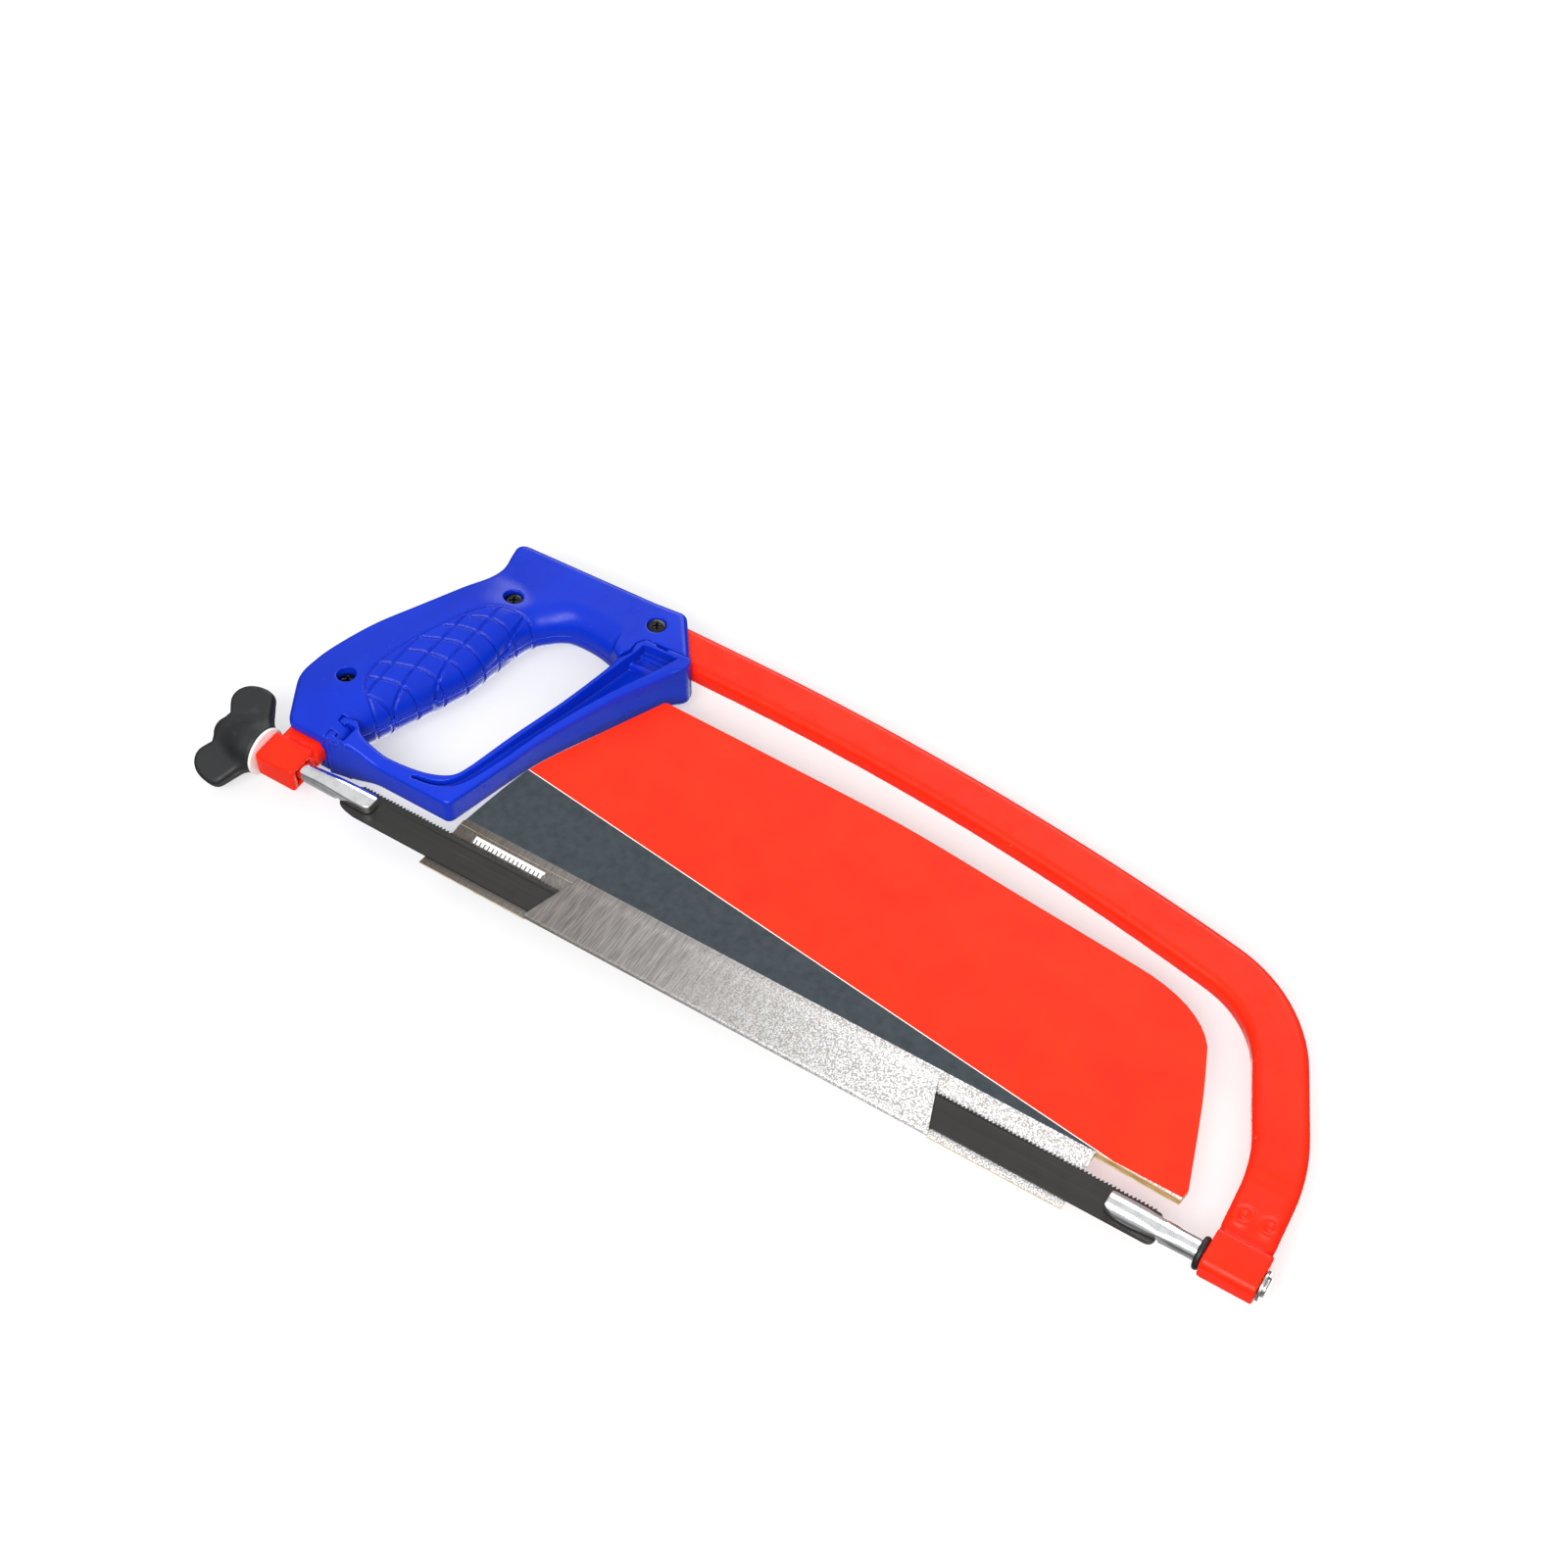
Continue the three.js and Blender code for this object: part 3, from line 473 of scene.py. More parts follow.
def printed_board():
    """Printed cardboard: orange-red above a slanted white line, then slate, then a silver band."""
    card = Finish("printed_card", specular_ior_level=0.2)
    x, _, z = card.axes()
    (x0, z0), (x1, z1) = PRINT_LINE
    slope = (z1 - z0) / (x1 - x0)
    above = card.math("SUBTRACT", z, card.math("ADD", card.product(x, slope), z0 - slope * x0))
    brushed = card.spread(card.noise(0.5, 3, (0.7, 1, 14)), 0.25, 0.75)
    shaded = card.mix(brushed, "3f3a36", "6a625b")
    streaks = card.mix(card.spread(x, *SILVER_SHADE), shaded, card.mix(brushed, "6f6b68", "a8a5a2"))
    grains = card.mix(card.spread(card.noise(0.55, 2), 0.42, 0.6), "aaa5a2", "ffffff")
    silver = card.mix(card.spread(x, *SILVER_CHANGE), streaks, grains)
    slate = card.mix(card.spread(card.noise(3)), "30373c", "3a4248")
    orange = card.mix(card.spread(card.noise(18)), "ff2302", "ff2b05")
    upper = card.mix(card.math("GREATER_THAN", above, 0.0), slate, orange)
    on_line = card.math("LESS_THAN", card.math("ABSOLUTE", above), PRINT_LINE_HALF)
    band = card.math("LESS_THAN", z, SILVER_TOP)
    pattern = card.mix(band, card.mix(on_line, upper, "f6e9e2"), silver)
    step = card.math("FRACT", card.math("DIVIDE", x, BARS["pitch"]))
    comb = card.math("GREATER_THAN", step, BARS["gap"])
    bars = card.math("MAXIMUM", comb, card.math("GREATER_THAN", z, BARS["joined"]))
    for value, low, high in ((x, BARS["from"], BARS["to"]), (z, BARS["low"], BARS["high"])):
        bars = card.product(bars, card.math("GREATER_THAN", value, low), card.math("LESS_THAN", value, high))
    card.colour(bars, pattern, "f4f4f2")
    card.plug(card.product(band, 0.45), card.shader.inputs["Metallic"])
    card.roughness(card.noise(8, 4), 0.36, 0.5)
    return card.bump(card.noise(0.7), 0.012).bump(card.noise(40, 2), 0.25).material


def cut_board():
    """The cut edge of the card: pale fibre with brown layers."""
    board = Finish("cut_card_edge", roughness=0.85)
    board.colour(board.spread(board.noise(0.35, 3, (12, 1, 12)), 0.35, 0.65), "efe4cb", "c9a878")
    return board.bump(board.noise(0.3, 4), 0.05).material


def kraft_board():
    board = Finish("kraft_card_inside", roughness=0.8)
    board.colour(board.spread(board.noise(0.8, 5, (6, 1, 1)), 0.35, 0.65), "8f7049", "ac8c60")
    return board.bump(board.noise(0.6, 4, (5, 1, 1)), 0.03).material


# ---------- shared shapes ----------

SCREWS = {"rear": (-25.4, 35.2, 7.4), "middle": (1.5, 97.2, 7.4), "front": (51.7, 114.6, 7.4)}
SCREW_HEAD = 6.4
COUNTERBORE = 7.0
CROSS_TURN = math.radians(30)
REAR_SOCKET = {"from": -34.7, "to": -18.3, "bottom": -6.0, "top": 6.6, "half": 5.3}
FRONT_SOCKET = {"from": 328.0, "to": 346.8, "bottom": -6.1, "top": 8.4, "half": 5.2}
TUBE_HALF = 4.5
TUBE_CORNER = 3.6
TUBE_WIDTH = (16.4, 18.2)
WELD_DIMPLES = ((332.4, 16.6), (340.8, 17))
LID = {"height": 120.1, "slope": 0.038, "to": 57}
PLAY = 0.15
BLADE_LENGTH = 313.0
BLADE_HALF = 6.3
TOOTH_PITCH = 1.41
TOOTH_DEPTH = 0.85
BLADE_THICKNESS = 0.65
PIN_INSET = 6.5
HOLDER_FACE = -BLADE_THICKNESS / 2 - 0.05
HOLDER_DEPTH = 4.2
PIN_HOLE = 1.85
PIN_RADIUS = 1.8
SHANK_RADIUS = 3.4
O_RING_THICK = 2.2
NUT_FACE = -36.1
NUT_REAR = NUT_FACE - 20.5
WING_TURN = 22.0
WING_REACH = 19.2
PRINT_LINE = ((47.0, 42.0), (283.0, 14.0))
PRINT_LINE_HALF = 0.16
SILVER_TOP = 13.4
SILVER_SHADE = (40.0, 130.0)
SILVER_CHANGE = (130.0, 220.0)
BARS = {"from": 48.5, "to": 77.0, "low": 6.9, "joined": 8.4, "high": 9.4, "pitch": 1.7, "gap": 0.3}


# the rim of the hand opening on the handle's side, from the grip's foot to the front
HAND_RIM = ((-10.6, 22.6), (-3.9, 37.6), (3.5, 54.1), (7.2, 64), (9.2, 77), (12, 89), (17.3, 95.7),
            (23, 99.8), (29.5, 100.5), (36.5, 99.8), (43.3, 97.9))
# the side of the guard's groove that borders the rim of the hand opening
GROOVE_RIM = ((25, 18), (29.6, 21.7), (33, 29.5), (37.8, 47.6), (44.6, 69.6), (49.6, 89))


def shell_outline():
    path = Outline(-4, 12.4).line((-15, 9.9), (-29.6, 9.8)).bend((-32, 10), (-33.8, 13.2))
    path.line((-40.4, 25.4)).bend((-42.2, 28.8), (-42, 33))
    path.curve((-40.9, 42), (-37.4, 54), (-33.2, 64.6), (-26, 78), (-18.5, 91.5), (-13.4, 100.5),
               (-11.2, 108), (-12.4, 115), (-13, 118.4))
    path.bend((-12.9, 121.9), (-8.5, 122.2)).line((45, 124.2), (55.4, 125.2))
    path.bend((57.6, 125.3), (58.8, 123.6)).line((70.6, 107.6), (65, 95.5), (50, 93.5), (47.8, 95.6))
    return path.curve(*reversed(HAND_RIM)).line((-4, 18.4)).array()


def finger_side():
    """Everything on the handle's side of the curve that the fingers close round."""
    path = Outline(*HAND_RIM[0]).curve(*HAND_RIM[1:], (46.5, 96.3))
    return path.line((60, 60), (200, 60), (200, 200), (-120, 200), (-120, -60), (10, -60)).array()


def shell_hollow():
    path = Outline(-30.2, 14)
    path.curve((-38.6, 29), (-38, 41), (-33.6, 56), (-26, 71), (-13, 96), (-8, 108), (-5, 118),
               (8, 119.4))
    path.line((52, 121.2), (62.4, 110.4), (47, 108.4), (46, 102.5))
    path.curve((30, 104), (18, 101), (9.4, 92), (6, 77), (3.6, 65), (-2, 49), (-12, 27), (-17.4, 23))
    return path.line((-20, 14)).array()


def guard_outline():
    path = Outline(-16.3, 10).bend((-9, 11.9), (-2, 11.9)).line((32.6, 11.9))
    path.bend((35, 12), (35.7, 14.8)).curve((41.8, 37.6), (46.8, 54), (56.6, 76.5), (66.2, 94.4))
    path.line((71.4, 103.2)).bend((72.2, 105.4), (70.5, 108.2))
    path.line((52.4, 107), (50.3, 104), (50.3, 100), (47.8, 95.6))
    path.curve((47, 88.5), (42.4, 70.1), (35.6, 48.5), (31.2, 30.5))
    path.curve((28.2, 23.6), (20.2, 19.6), (9, 17.9), (-1.5, 17.9), (-6.6, 19.2), (-11, 22.3))
    key = [(-16.3, 21.3), (-16.3, 18.7), (-13.6, 18.7), (-13.6, 19.7), (-9.5, 19.7), (-9.5, 12.8),
           (-13.6, 12.8), (-13.6, 14.4), (-16.3, 14.4)]
    return path.line(*key).array()


def guard_groove():
    path = Outline(17.6, 14.7).bend((16.6, 15.6), (17.8, 16.3)).curve(*GROOVE_RIM)
    path.line((52.6, 101), (53, 104.7), (66.6, 105.7), (63, 96.4))
    path.curve((53.6, 77.6), (44.6, 56.5), (36.6, 29.6), (32.4, 20.6), (26, 16.4), (17.6, 14.7))
    return path.array()


def leaf_panel():
    """The engraved panel of the grip; it runs out over the side that the fingers hold."""
    path = Outline(18.9, 88.7)
    path.curve((16.7, 90.5), (13.1, 91.9), (9.9, 92.9), (6.7, 92.4), (3.1, 91.2), (-0.4, 89.1),
               (-4, 85.9), (-6.9, 81.6), (-9.7, 75.9), (-12.2, 70.5), (-14.7, 64.4), (-16.9, 58),
               (-18.4, 52.3), (-19.4, 46.6), (-19.4, 40.9), (-18.6, 37.3), (-16.5, 34.1),
               (-14.4, 32.3), (-11.5, 30.5), (-7.6, 27.6), (-5.1, 26.6), steps=3)
    return path.line((24, 40), (34, 88)).array()


PANEL_LINES = [
    [(-14.9, 62), (-15, 50), (-14.7, 33)],
    [(-6.9, 79.4), (-7.2, 69.4), (-7.7, 58), (-7.7, 49.4), (-7.1, 42.3), (-5.8, 33.7), (-4.9, 27.3)],
    [(1.1, 90.1), (0.9, 80.1), (0.1, 69.4), (-0.4, 60.9), (0.1, 55.1), (1, 49.4), (2.8, 42.6)],
    [(9.4, 92.3), (9.2, 85.1), (9, 78), (9, 70.9), (9.2, 65.9), (11, 62.3), (12.6, 60.9)],
    [(-4.7, 80.5), (0.3, 83.4), (4.6, 84.4), (9.6, 84.9), (15.3, 84.1)],
    [(-10.1, 72.3), (-4.7, 74.8), (0.3, 76.2), (4.6, 76.9), (8.9, 77.1), (13.9, 75.9)],
    [(-13.6, 63.4), (-8.3, 65.9), (-2.6, 68.4), (3.1, 69.4), (7.4, 69.6), (11, 68.9)],
    [(-14, 55.9), (-9.7, 58), (-4.7, 59.8), (-0.4, 60.9), (4.6, 61.7), (9.5, 60.9)],
    [(-18.3, 46.2), (-14, 48.4), (-8.3, 50.9), (-4, 52.3), (1.7, 53.1), (6, 52.6), (9.2, 50.5)],
    [(-17.9, 38.7), (-13.3, 40.9), (-8.3, 42.6), (-2.6, 43.4), (3.2, 42.6)],
    [(-13.6, 32.4), (-9.7, 33.7), (-5.4, 34.1), (-1.9, 33.4), (1.7, 31.9)],
]


def tube_route():
    """Centre points, directions and distances along the tube, from the rear socket to the front one."""
    x, z, heading, run = -25.2, 6.0, math.pi / 2, 0.0
    stations = [(x, z, heading, run)]
    moves = [(14, None), (60, 22), (60.6, None), (28, 68), (57.1, None), (1055, 11), (46, 53.5),
             (25.2, None), (60, 21.5), (24, None)]
    for size, degrees in moves:  # a straight run of some length, or a bend of some radius
        turn = math.radians(degrees or 0)
        length = size * turn if degrees else size
        steps = max(2, int(length / 3))
        for _ in range(steps):
            middle = heading - turn / steps / 2
            x += math.cos(middle) * length / steps
            z += math.sin(middle) * length / steps
            heading -= turn / steps
            run += length / steps
            stations.append((x, z, heading, run))
    return np.array(stations)


def tube_outline():
    route = tube_route()
    run = route[:, 3]
    share = smooth_step(0.5 * run[-1], 0.93 * run[-1], run)
    half = (TUBE_WIDTH[0] + (TUBE_WIDTH[1] - TUBE_WIDTH[0]) * share) / 2
    across = np.stack([-np.sin(route[:, 2]) * half, np.cos(route[:, 2]) * half], 1)
    return np.vstack([route[:, :2] + across, (route[:, :2] - across)[::-1]])


def tube_envelope(grid, flat, grow=0.0):
    return rounded_both(flat - grow, np.abs(grid.y) - TUBE_HALF - grow, TUBE_CORNER)


def under_lid(grid, gap=0.0):
    """Distance above the inner face of the handle's top wall; the tube is pressed flatter below it."""
    return np.where(grid.x < LID["to"], grid.z - LID["height"] - LID["slope"] * grid.x - gap, -9.0)


def box_distance(grid, x0, x1, half, z0, z1, radius):
    """A block with all its edges rounded."""
    faces = [between(grid.x, x0, x1), np.abs(grid.y) - half, between(grid.z, z0, z1)]
    faces = [face + radius for face in faces]
    outer = np.sqrt(sum(np.maximum(face, 0) ** 2 for face in faces))
    return np.minimum(overlap(*faces), 0) + outer - radius


def block_pocket(grid):
    """The room for the rear socket's block in the handle's pieces."""
    return box_distance(grid, REAR_SOCKET["from"] - 0.2, REAR_SOCKET["to"] + 0.2, 5.45, -10, 22.15, 1.0)


# ---------- frame ----------

def build_tube(material):
    grid = Grid((-36, -5.8, -7.2), (348.2, 5.8, 126), 0.45)
    flat = grid.distance(tube_outline())
    at_front = grid.x > 300
    pressed = np.where(at_front, 1 - smooth_step(29.0, 34.0, grid.z), 0)
    valley = np.where(at_front, 1 - smooth_step(10.5, 15.0, grid.z), 0)
    half = TUBE_HALF - 1.3 * pressed - 1.1 * valley
    arm = rounded_both(flat, np.abs(grid.y) - half, 3.0)
    arm = overlap(arm, -2 - grid.z, under_lid(grid))
    front, rear = FRONT_SOCKET, REAR_SOCKET
    corner = np.where(grid.z < 1, 3.2, 1.6)
    tall = between(grid.z, front["bottom"], front["top"])
    section = rounded_both(np.abs(grid.y) - front["half"], tall, corner)
    along = between(grid.x, front["from"], front["to"])
    arm = soft_min(arm, rounded_both(section, along, 0.8), 1.6)
    block = box_distance(grid, rear["from"], rear["to"], rear["half"], rear["bottom"], rear["top"], 1.2)
    neck = box_distance(grid, -32.2, rear["to"], rear["half"] - 0.4, 0, 22, 1.6)
    arm = soft_min(arm, soft_min(block, neck, 0.6), 0.8)
    for x, z in WELD_DIMPLES:
        spot = grid.round_y(x, z)
        arm = arm + 0.7 * (1 - smooth_step(0.3, 2.2, spot)) - 0.3 * np.exp(-((spot - 2.8) / 0.9) ** 2)
    square = np.maximum(np.abs(grid.y), np.abs(grid.z)) - 3.6
    arm = carve(arm, np.maximum(square, grid.x - rear["to"] - 5), 0.5)
    arm = carve(arm, np.maximum(grid.round_x() - 3.475, front["from"] - 5 - grid.x), 0.5)
    add_piece("red_frame_tube", *surface(grid, arm), material, SMOOTH)


# ---------- handle ----------

class Handle:
    """The grid and the plane distances that the handle's pieces share."""

    def __init__(self, step):
        self.grid = Grid((-43.2, -0.8, 8.4), (73.2, 14.4, 126.4), step)
        distance = self.grid.distance
        self.shell = distance(shell_outline())
        self.fingers = distance(finger_side())
        self.guard = distance(guard_outline())
        self.hollow = distance(shell_hollow())
        self.leaf = distance(leaf_panel())
        self.tube = distance(tube_outline())
        self.crown = distance(np.array([(-24.0, 30.0), (-3.5, 86.0)]), closed=False)
        lines = [Outline(*line[0]).curve(*line[1:], steps=4).array() for line in PANEL_LINES]
        self.lines = np.minimum.reduce([distance(line, closed=False) for line in lines])

    def half_thickness(self):
        """Ten millimetres, swelling in the grip to fill the palm."""
        return 10 + 3.3 * (1 - np.clip(self.crown / 20, 0, 1) ** 2) ** 2

    def engraving(self):
        """How far the leaf panel and its lines are sunk."""
        panel = 0.15 * smooth_step(-0.2, 0.2, -self.leaf)
        edge = 0.5 * (1 - smooth_step(0.18, 0.5, np.abs(self.leaf)))
        lines = 0.62 * (1 - smooth_step(0.2, 0.58, self.lines)) * (self.leaf < 0.5)
        return panel + np.maximum(edge, lines)


def build_shell(handle, side, material):
    grid, out = handle.grid, handle.grid.y
    half = handle.half_thickness()
    body = rounded_both(handle.shell, out - half, 3.0)
    roll = 9.0 - 6.8 * smooth_step(42.6, 45.0, grid.x)
    body = soft_max(body, rounded_both(handle.fingers, out - half, roll), 0.6)
    body = body + handle.engraving() * (out > 0.6)
    bosses = [5 - grid.round_y(x, z) for x, z, _ in SCREWS.values()]
    hollow = overlap(handle.hollow, out - 7.2, body + 2.2, *bosses)
    body = carve(body, hollow)
    body = carve(body, rounded_both(handle.guard - PLAY, out - 30, 0.1), 0.5)
    body = carve(body, overlap(tube_envelope(grid, handle.tube, PLAY), under_lid(grid, PLAY)))
    body = carve(body, block_pocket(grid))
    for x, z, seat in SCREWS.values():
        ring = grid.round_y(x, z)
        body = carve(body, np.maximum(ring - 2.1, out - 9 if side > 0 else -1 - out))
        if side < 0:
            body = carve(body, np.maximum(ring - COUNTERBORE / 2, seat - out), 0.4)
    body = soft_max(body, 0.06 - out, 0.35)
    points, faces = surface(grid, body)
    points[:, 1] *= side
    if side < 0:
        faces = faces[:, ::-1]
    add_piece("blue_grip_left" if side < 0 else "blue_grip_right", points, faces, material, SMOOTH)


def build_guard(material):
    grid = Grid((-17.4, -10.4, 9.2), (72.6, 10.4, 109), 0.4)
    flat = grid.distance(guard_outline())
    groove = grid.distance(guard_groove())
    by_height = np.where(grid.x > 20, 5.9 + 3.8 * smooth_step(36, 98, grid.z), 0)
    by_length = np.where(grid.z < 30, 10.0 - 4.1 * smooth_step(-9, 6, grid.x), 0)
    half = np.maximum(by_height, by_length)
    edge = 1.5 + smooth_step(40, 90, grid.z) - 2.0 * smooth_step(98, 103, grid.z)
    edge = np.where(grid.x < -8, 0.5, edge)
    out = np.abs(grid.y)
    body = rounded_both(flat, out - half, edge)
    rim = Outline(17.8, 16.3).curve(*GROOVE_RIM).line((52.6, 101)).array()
    rim = grid.distance(rim, closed=False)
    slope = 3.0 + 0.55 * np.maximum(rim - 1.7, 0) * (1 - smooth_step(93, 100, grid.z))
    slope = np.minimum(slope, half - 0.5)
    pocket = np.where(np.abs(grid.z - 100.6) < 1.7, 4.2, 5.4)
    floor = slope + (pocket - slope) * smooth_step(96.5, 97.5, grid.z)
    body = carve(body, rounded_both(groove, floor - out, 0.3), 0.35)
    body = carve(body, overlap(np.abs(grid.x - 59.3) - 2.3, 106.3 - grid.z, 8.6 - out))
    body = carve(body, tube_envelope(grid, grid.distance(tube_outline()), PLAY))
    body = carve(body, block_pocket(grid))
    add_piece("blue_knuckle_guard", *surface(grid, body), material, SMOOTH)


def build_screw(name, x, z, seat, material):
    top = -seat - 2.2
    grid = Grid((x - 3.6, top - 0.4, z - 3.6), (x + 3.6, 8.8, z + 3.6), 0.16)
    ring = grid.round_y(x, z)
    dome = np.sqrt((ring * 0.42) ** 2 + (grid.y + seat - 1.0) ** 2) - 3.2
    head = overlap(dome, ring - SCREW_HEAD / 2, grid.y + seat)
    thread = 0.18 * np.cos(2 * math.pi * grid.y / 1.3 - np.arctan2(grid.z - z, grid.x - x))
    shank = overlap(ring - 1.85 - thread, -seat - 1 - grid.y, grid.y + ring * 1.1 - 8.6)
    c, s = math.cos(CROSS_TURN), math.sin(CROSS_TURN)
    u = np.abs((grid.x - x) * c + (grid.z - z) * s)
    v = np.abs((grid.z - z) * c - (grid.x - x) * s)
    arms = np.minimum(overlap(u - 1.9, v - 0.42), overlap(v - 1.9, u - 0.42))
    taper = 0.32 * np.maximum(grid.y - top, 0)
    recess = overlap(arms + taper, grid.y - top - 1.5)
    solid = carve(soft_min(head, shank, 0.3), recess, 0.12)
    add_piece(f"black_screw_{name}", *surface(grid, solid), material, SMOOTH)


# ---------- wing nut and washer ----------

def wing_outline():
    path = Outline(NUT_FACE - 1, -5).line((NUT_FACE - 1, 6.4), (NUT_FACE - 6.4, WING_REACH - 2.6))
    path.bend((NUT_FACE - 7.6, WING_REACH), (NUT_FACE - 10.6, WING_REACH))
    tip = ((NUT_FACE - 10.6, WING_REACH), (NUT_REAR + 2.4, WING_REACH), (NUT_REAR - 1.4, WING_REACH - 4.6),
           (NUT_REAR, WING_REACH - 9))
    for t in np.linspace(0, 1, 13)[1:]:
        shares = ((1 - t) ** 3, 3 * t * (1 - t) ** 2, 3 * t * t * (1 - t), t ** 3)
        path.line(tuple(shares @ np.array(tip)))
    return path.bend((NUT_REAR + 1.4, 7.6), (NUT_REAR + 2.6, 6)).line((NUT_REAR + 2.6, -5)).array()


def turn_about_x(points, degrees):
    turn = np.array(Matrix.Rotation(math.radians(degrees), 3, "X"))
    return points @ turn.T


def build_wing_nut(material):
    grid = Grid((NUT_REAR - 1, -9.2, -20), (NUT_FACE + 0.6, 9.2, 20), 0.3)
    outline = wing_outline()
    half = 3.5 - 0.7 * smooth_step(7, WING_REACH, np.abs(grid.z))
    solid = None
    for mirror in (1, -1):
        flat = grid.distance(outline * np.array([1, mirror]))
        wing = rounded_both(flat, np.abs(grid.y) - half, 1.7)
        solid = wing if solid is None else soft_min(solid, wing, 1.0)
    ring = grid.round_x()
    taper = 3.4 + 5.2 * smooth_step(NUT_REAR, NUT_FACE - 4, grid.x)
    hub = rounded_both((ring - taper) * 0.92, between(grid.x, NUT_REAR + 0.6, NUT_FACE), 1.4)
    solid = soft_min(solid, hub, 2.6)
    solid = overlap(solid, grid.x - NUT_FACE)
    solid = carve(solid, overlap(hexagon(grid, 5.05), NUT_FACE - 12.1 - grid.x), 0.2)
    solid = carve(solid, overlap(ring - 3.5, NUT_REAR + 3 - grid.x), 0.2)
    points, faces = surface(grid, solid)
    add_piece("black_wing_nut", turn_about_x(points, WING_TURN), faces, material, SMOOTH)


def hexagon(grid, inradius):
    """Distance from a hexagonal prism that runs along X."""
    angles = [math.pi / 6, math.pi / 2, 5 * math.pi / 6]
    return overlap(*[np.abs(grid.y * math.cos(a) + grid.z * math.sin(a)) for a in angles]) - inradius


def nut_thread(grid):
    """The wave of a thread with a pitch of one millimetre round the X axis."""
    return np.cos(2 * math.pi * grid.x - np.arctan2(grid.z, grid.y))


def build_insert(material):
    grid = Grid((NUT_FACE - 12.4, -6.2, -6.2), (NUT_FACE + 0.4, 6.2, 6.2), 0.2)
    ring = grid.round_x()
    along = np.abs(grid.x - NUT_FACE + 6)
    bore = 3.12 + overlap(0.12 * nut_thread(grid), along - 5.4)
    points, faces = surface(grid, overlap(hexagon(grid, 5.0), along - 6, bore - ring))
    add_piece("zinc_thread_insert", turn_about_x(points, WING_TURN), faces, material, 40)


def rounded_ring(x0, x1, inner, outer, radius, steps=5):
    """The section of a flat ring with rounded corners, as (along, radius) points."""
    section = []
    corners = ((x0 + radius, inner + radius, 180), (x1 - radius, inner + radius, 270),
               (x1 - radius, outer - radius, 0), (x0 + radius, outer - radius, 90))
    for x, r, start in corners:
        for step in range(steps + 1):
            angle = math.radians(start + 90 * step / steps)
            section.append((x + radius * math.cos(angle), r + radius * math.sin(angle)))
    return section


def build_rings(nylon, black_rubber, steel):
    washer = rounded_ring(NUT_FACE + 0.1, REAR_SOCKET["from"] - 0.1, 3.2, 8.85, 0.35)
    add_piece("white_washer", *turned(washer, 96), nylon)
    start = FRONT_SOCKET["from"] - 0.1 - O_RING_THICK
    seal = rounded_ring(start, start + O_RING_THICK, SHANK_RADIUS + 0.05, 5.6, 1.05, 8)
    add_piece("black_o_ring", *turned(seal, 72), black_rubber)
    face = FRONT_SOCKET["to"] + 0.25
    clip = rounded_ring(face, face + 1, 2.9, 5.1, 0.25)
    add_piece("zinc_retaining_ring", *turned(clip, 64), steel)


# ---------- blade, holders and pins ----------

def plate(name, outline, holes, y0, y1):
    """A flat plate in the (X, Z) plane with round holes, as points and faces."""
    curve = bpy.data.curves.new(name, "CURVE")
    curve.dimensions = "2D"
    curve.fill_mode = "BOTH"
    curve.extrude = (y1 - y0) / 2
    loops = [outline]
    for x, z, radius in holes:
        angles = np.linspace(0, 2 * math.pi, 32, endpoint=False)
        loops.append(np.stack([x + radius * np.cos(angles), z + radius * np.sin(angles)], 1))
    for loop in loops:
        spline = curve.splines.new("POLY")
        spline.points.add(len(loop) - 1)
        spline.points.foreach_set("co", [c for x, z in loop for c in (x, z, 0.0, 1.0)])
        spline.use_cyclic_u = True
    holder = put(name, curve)
    mesh = bpy.data.meshes.new_from_object(holder.evaluated_get(bpy.context.evaluated_depsgraph_get()))
    bpy.data.objects.remove(holder)
    bpy.data.curves.remove(curve)
    points, lookup = weld(np.array([vertex.co for vertex in mesh.vertices]))
    faces = [tuple(lookup[index] for index in polygon.vertices) for polygon in mesh.polygons]
    bpy.data.meshes.remove(mesh)
    faces = [face for face in faces if len(set(face)) == len(face)]
    flipped = np.stack([points[:, 0], (y0 + y1) / 2 - points[:, 2], points[:, 1]], 1)
    return flipped, faces


def weld(points):
    keys = np.round(points * 1e4).astype(np.int64)
    _, first, lookup = np.unique(keys, axis=0, return_index=True, return_inverse=True)
    return points[first], lookup.ravel()


def build_blade(material):
    """A strip with square-cut round-cornered ends, a pin hole at each end and raked teeth."""
    end, tip, gullet = BLADE_LENGTH, BLADE_HALF, BLADE_HALF - TOOTH_DEPTH
    strip = Outline(end - 2.5, gullet).line((end, tip - 3.4), (end, 3 - tip))
    strip.bend((end, -tip), (end - 3, -tip)).line((8, -tip))
    strip.bend((0.4, 0.9 - tip), (0, 3 - tip)).line((0, tip - 3.4), (2.5, gullet))
    points = strip.points
    for tooth in range(int((end - 6) / TOOTH_PITCH)):
        x = 3 + tooth * TOOTH_PITCH
        points += [(x, gullet), (x + TOOTH_PITCH * 0.62, tip), (x + TOOTH_PITCH * 0.72, tip),
                   (x + TOOTH_PITCH * 0.86, gullet + 0.1)]
    holes = [(PIN_INSET, 0, 2.05), (end - PIN_INSET, 0, 2.05)]
    solid, faces = plate("strip", np.array(points), holes, -BLADE_THICKNESS / 2, BLADE_THICKNESS / 2)
    wave = np.sin(2 * math.pi * solid[:, 0] / (TOOTH_PITCH * 7))
    solid[:, 1] += 0.16 * wave * smooth_step(BLADE_HALF - 1.2, BLADE_HALF, solid[:, 2])
    add_piece("dark_blade", solid, faces, material, CRISP)


def pin_hole(grid, x):
    return overlap(grid.round_y(x, 0) - PIN_HOLE, HOLDER_FACE - 2.6 - grid.y)


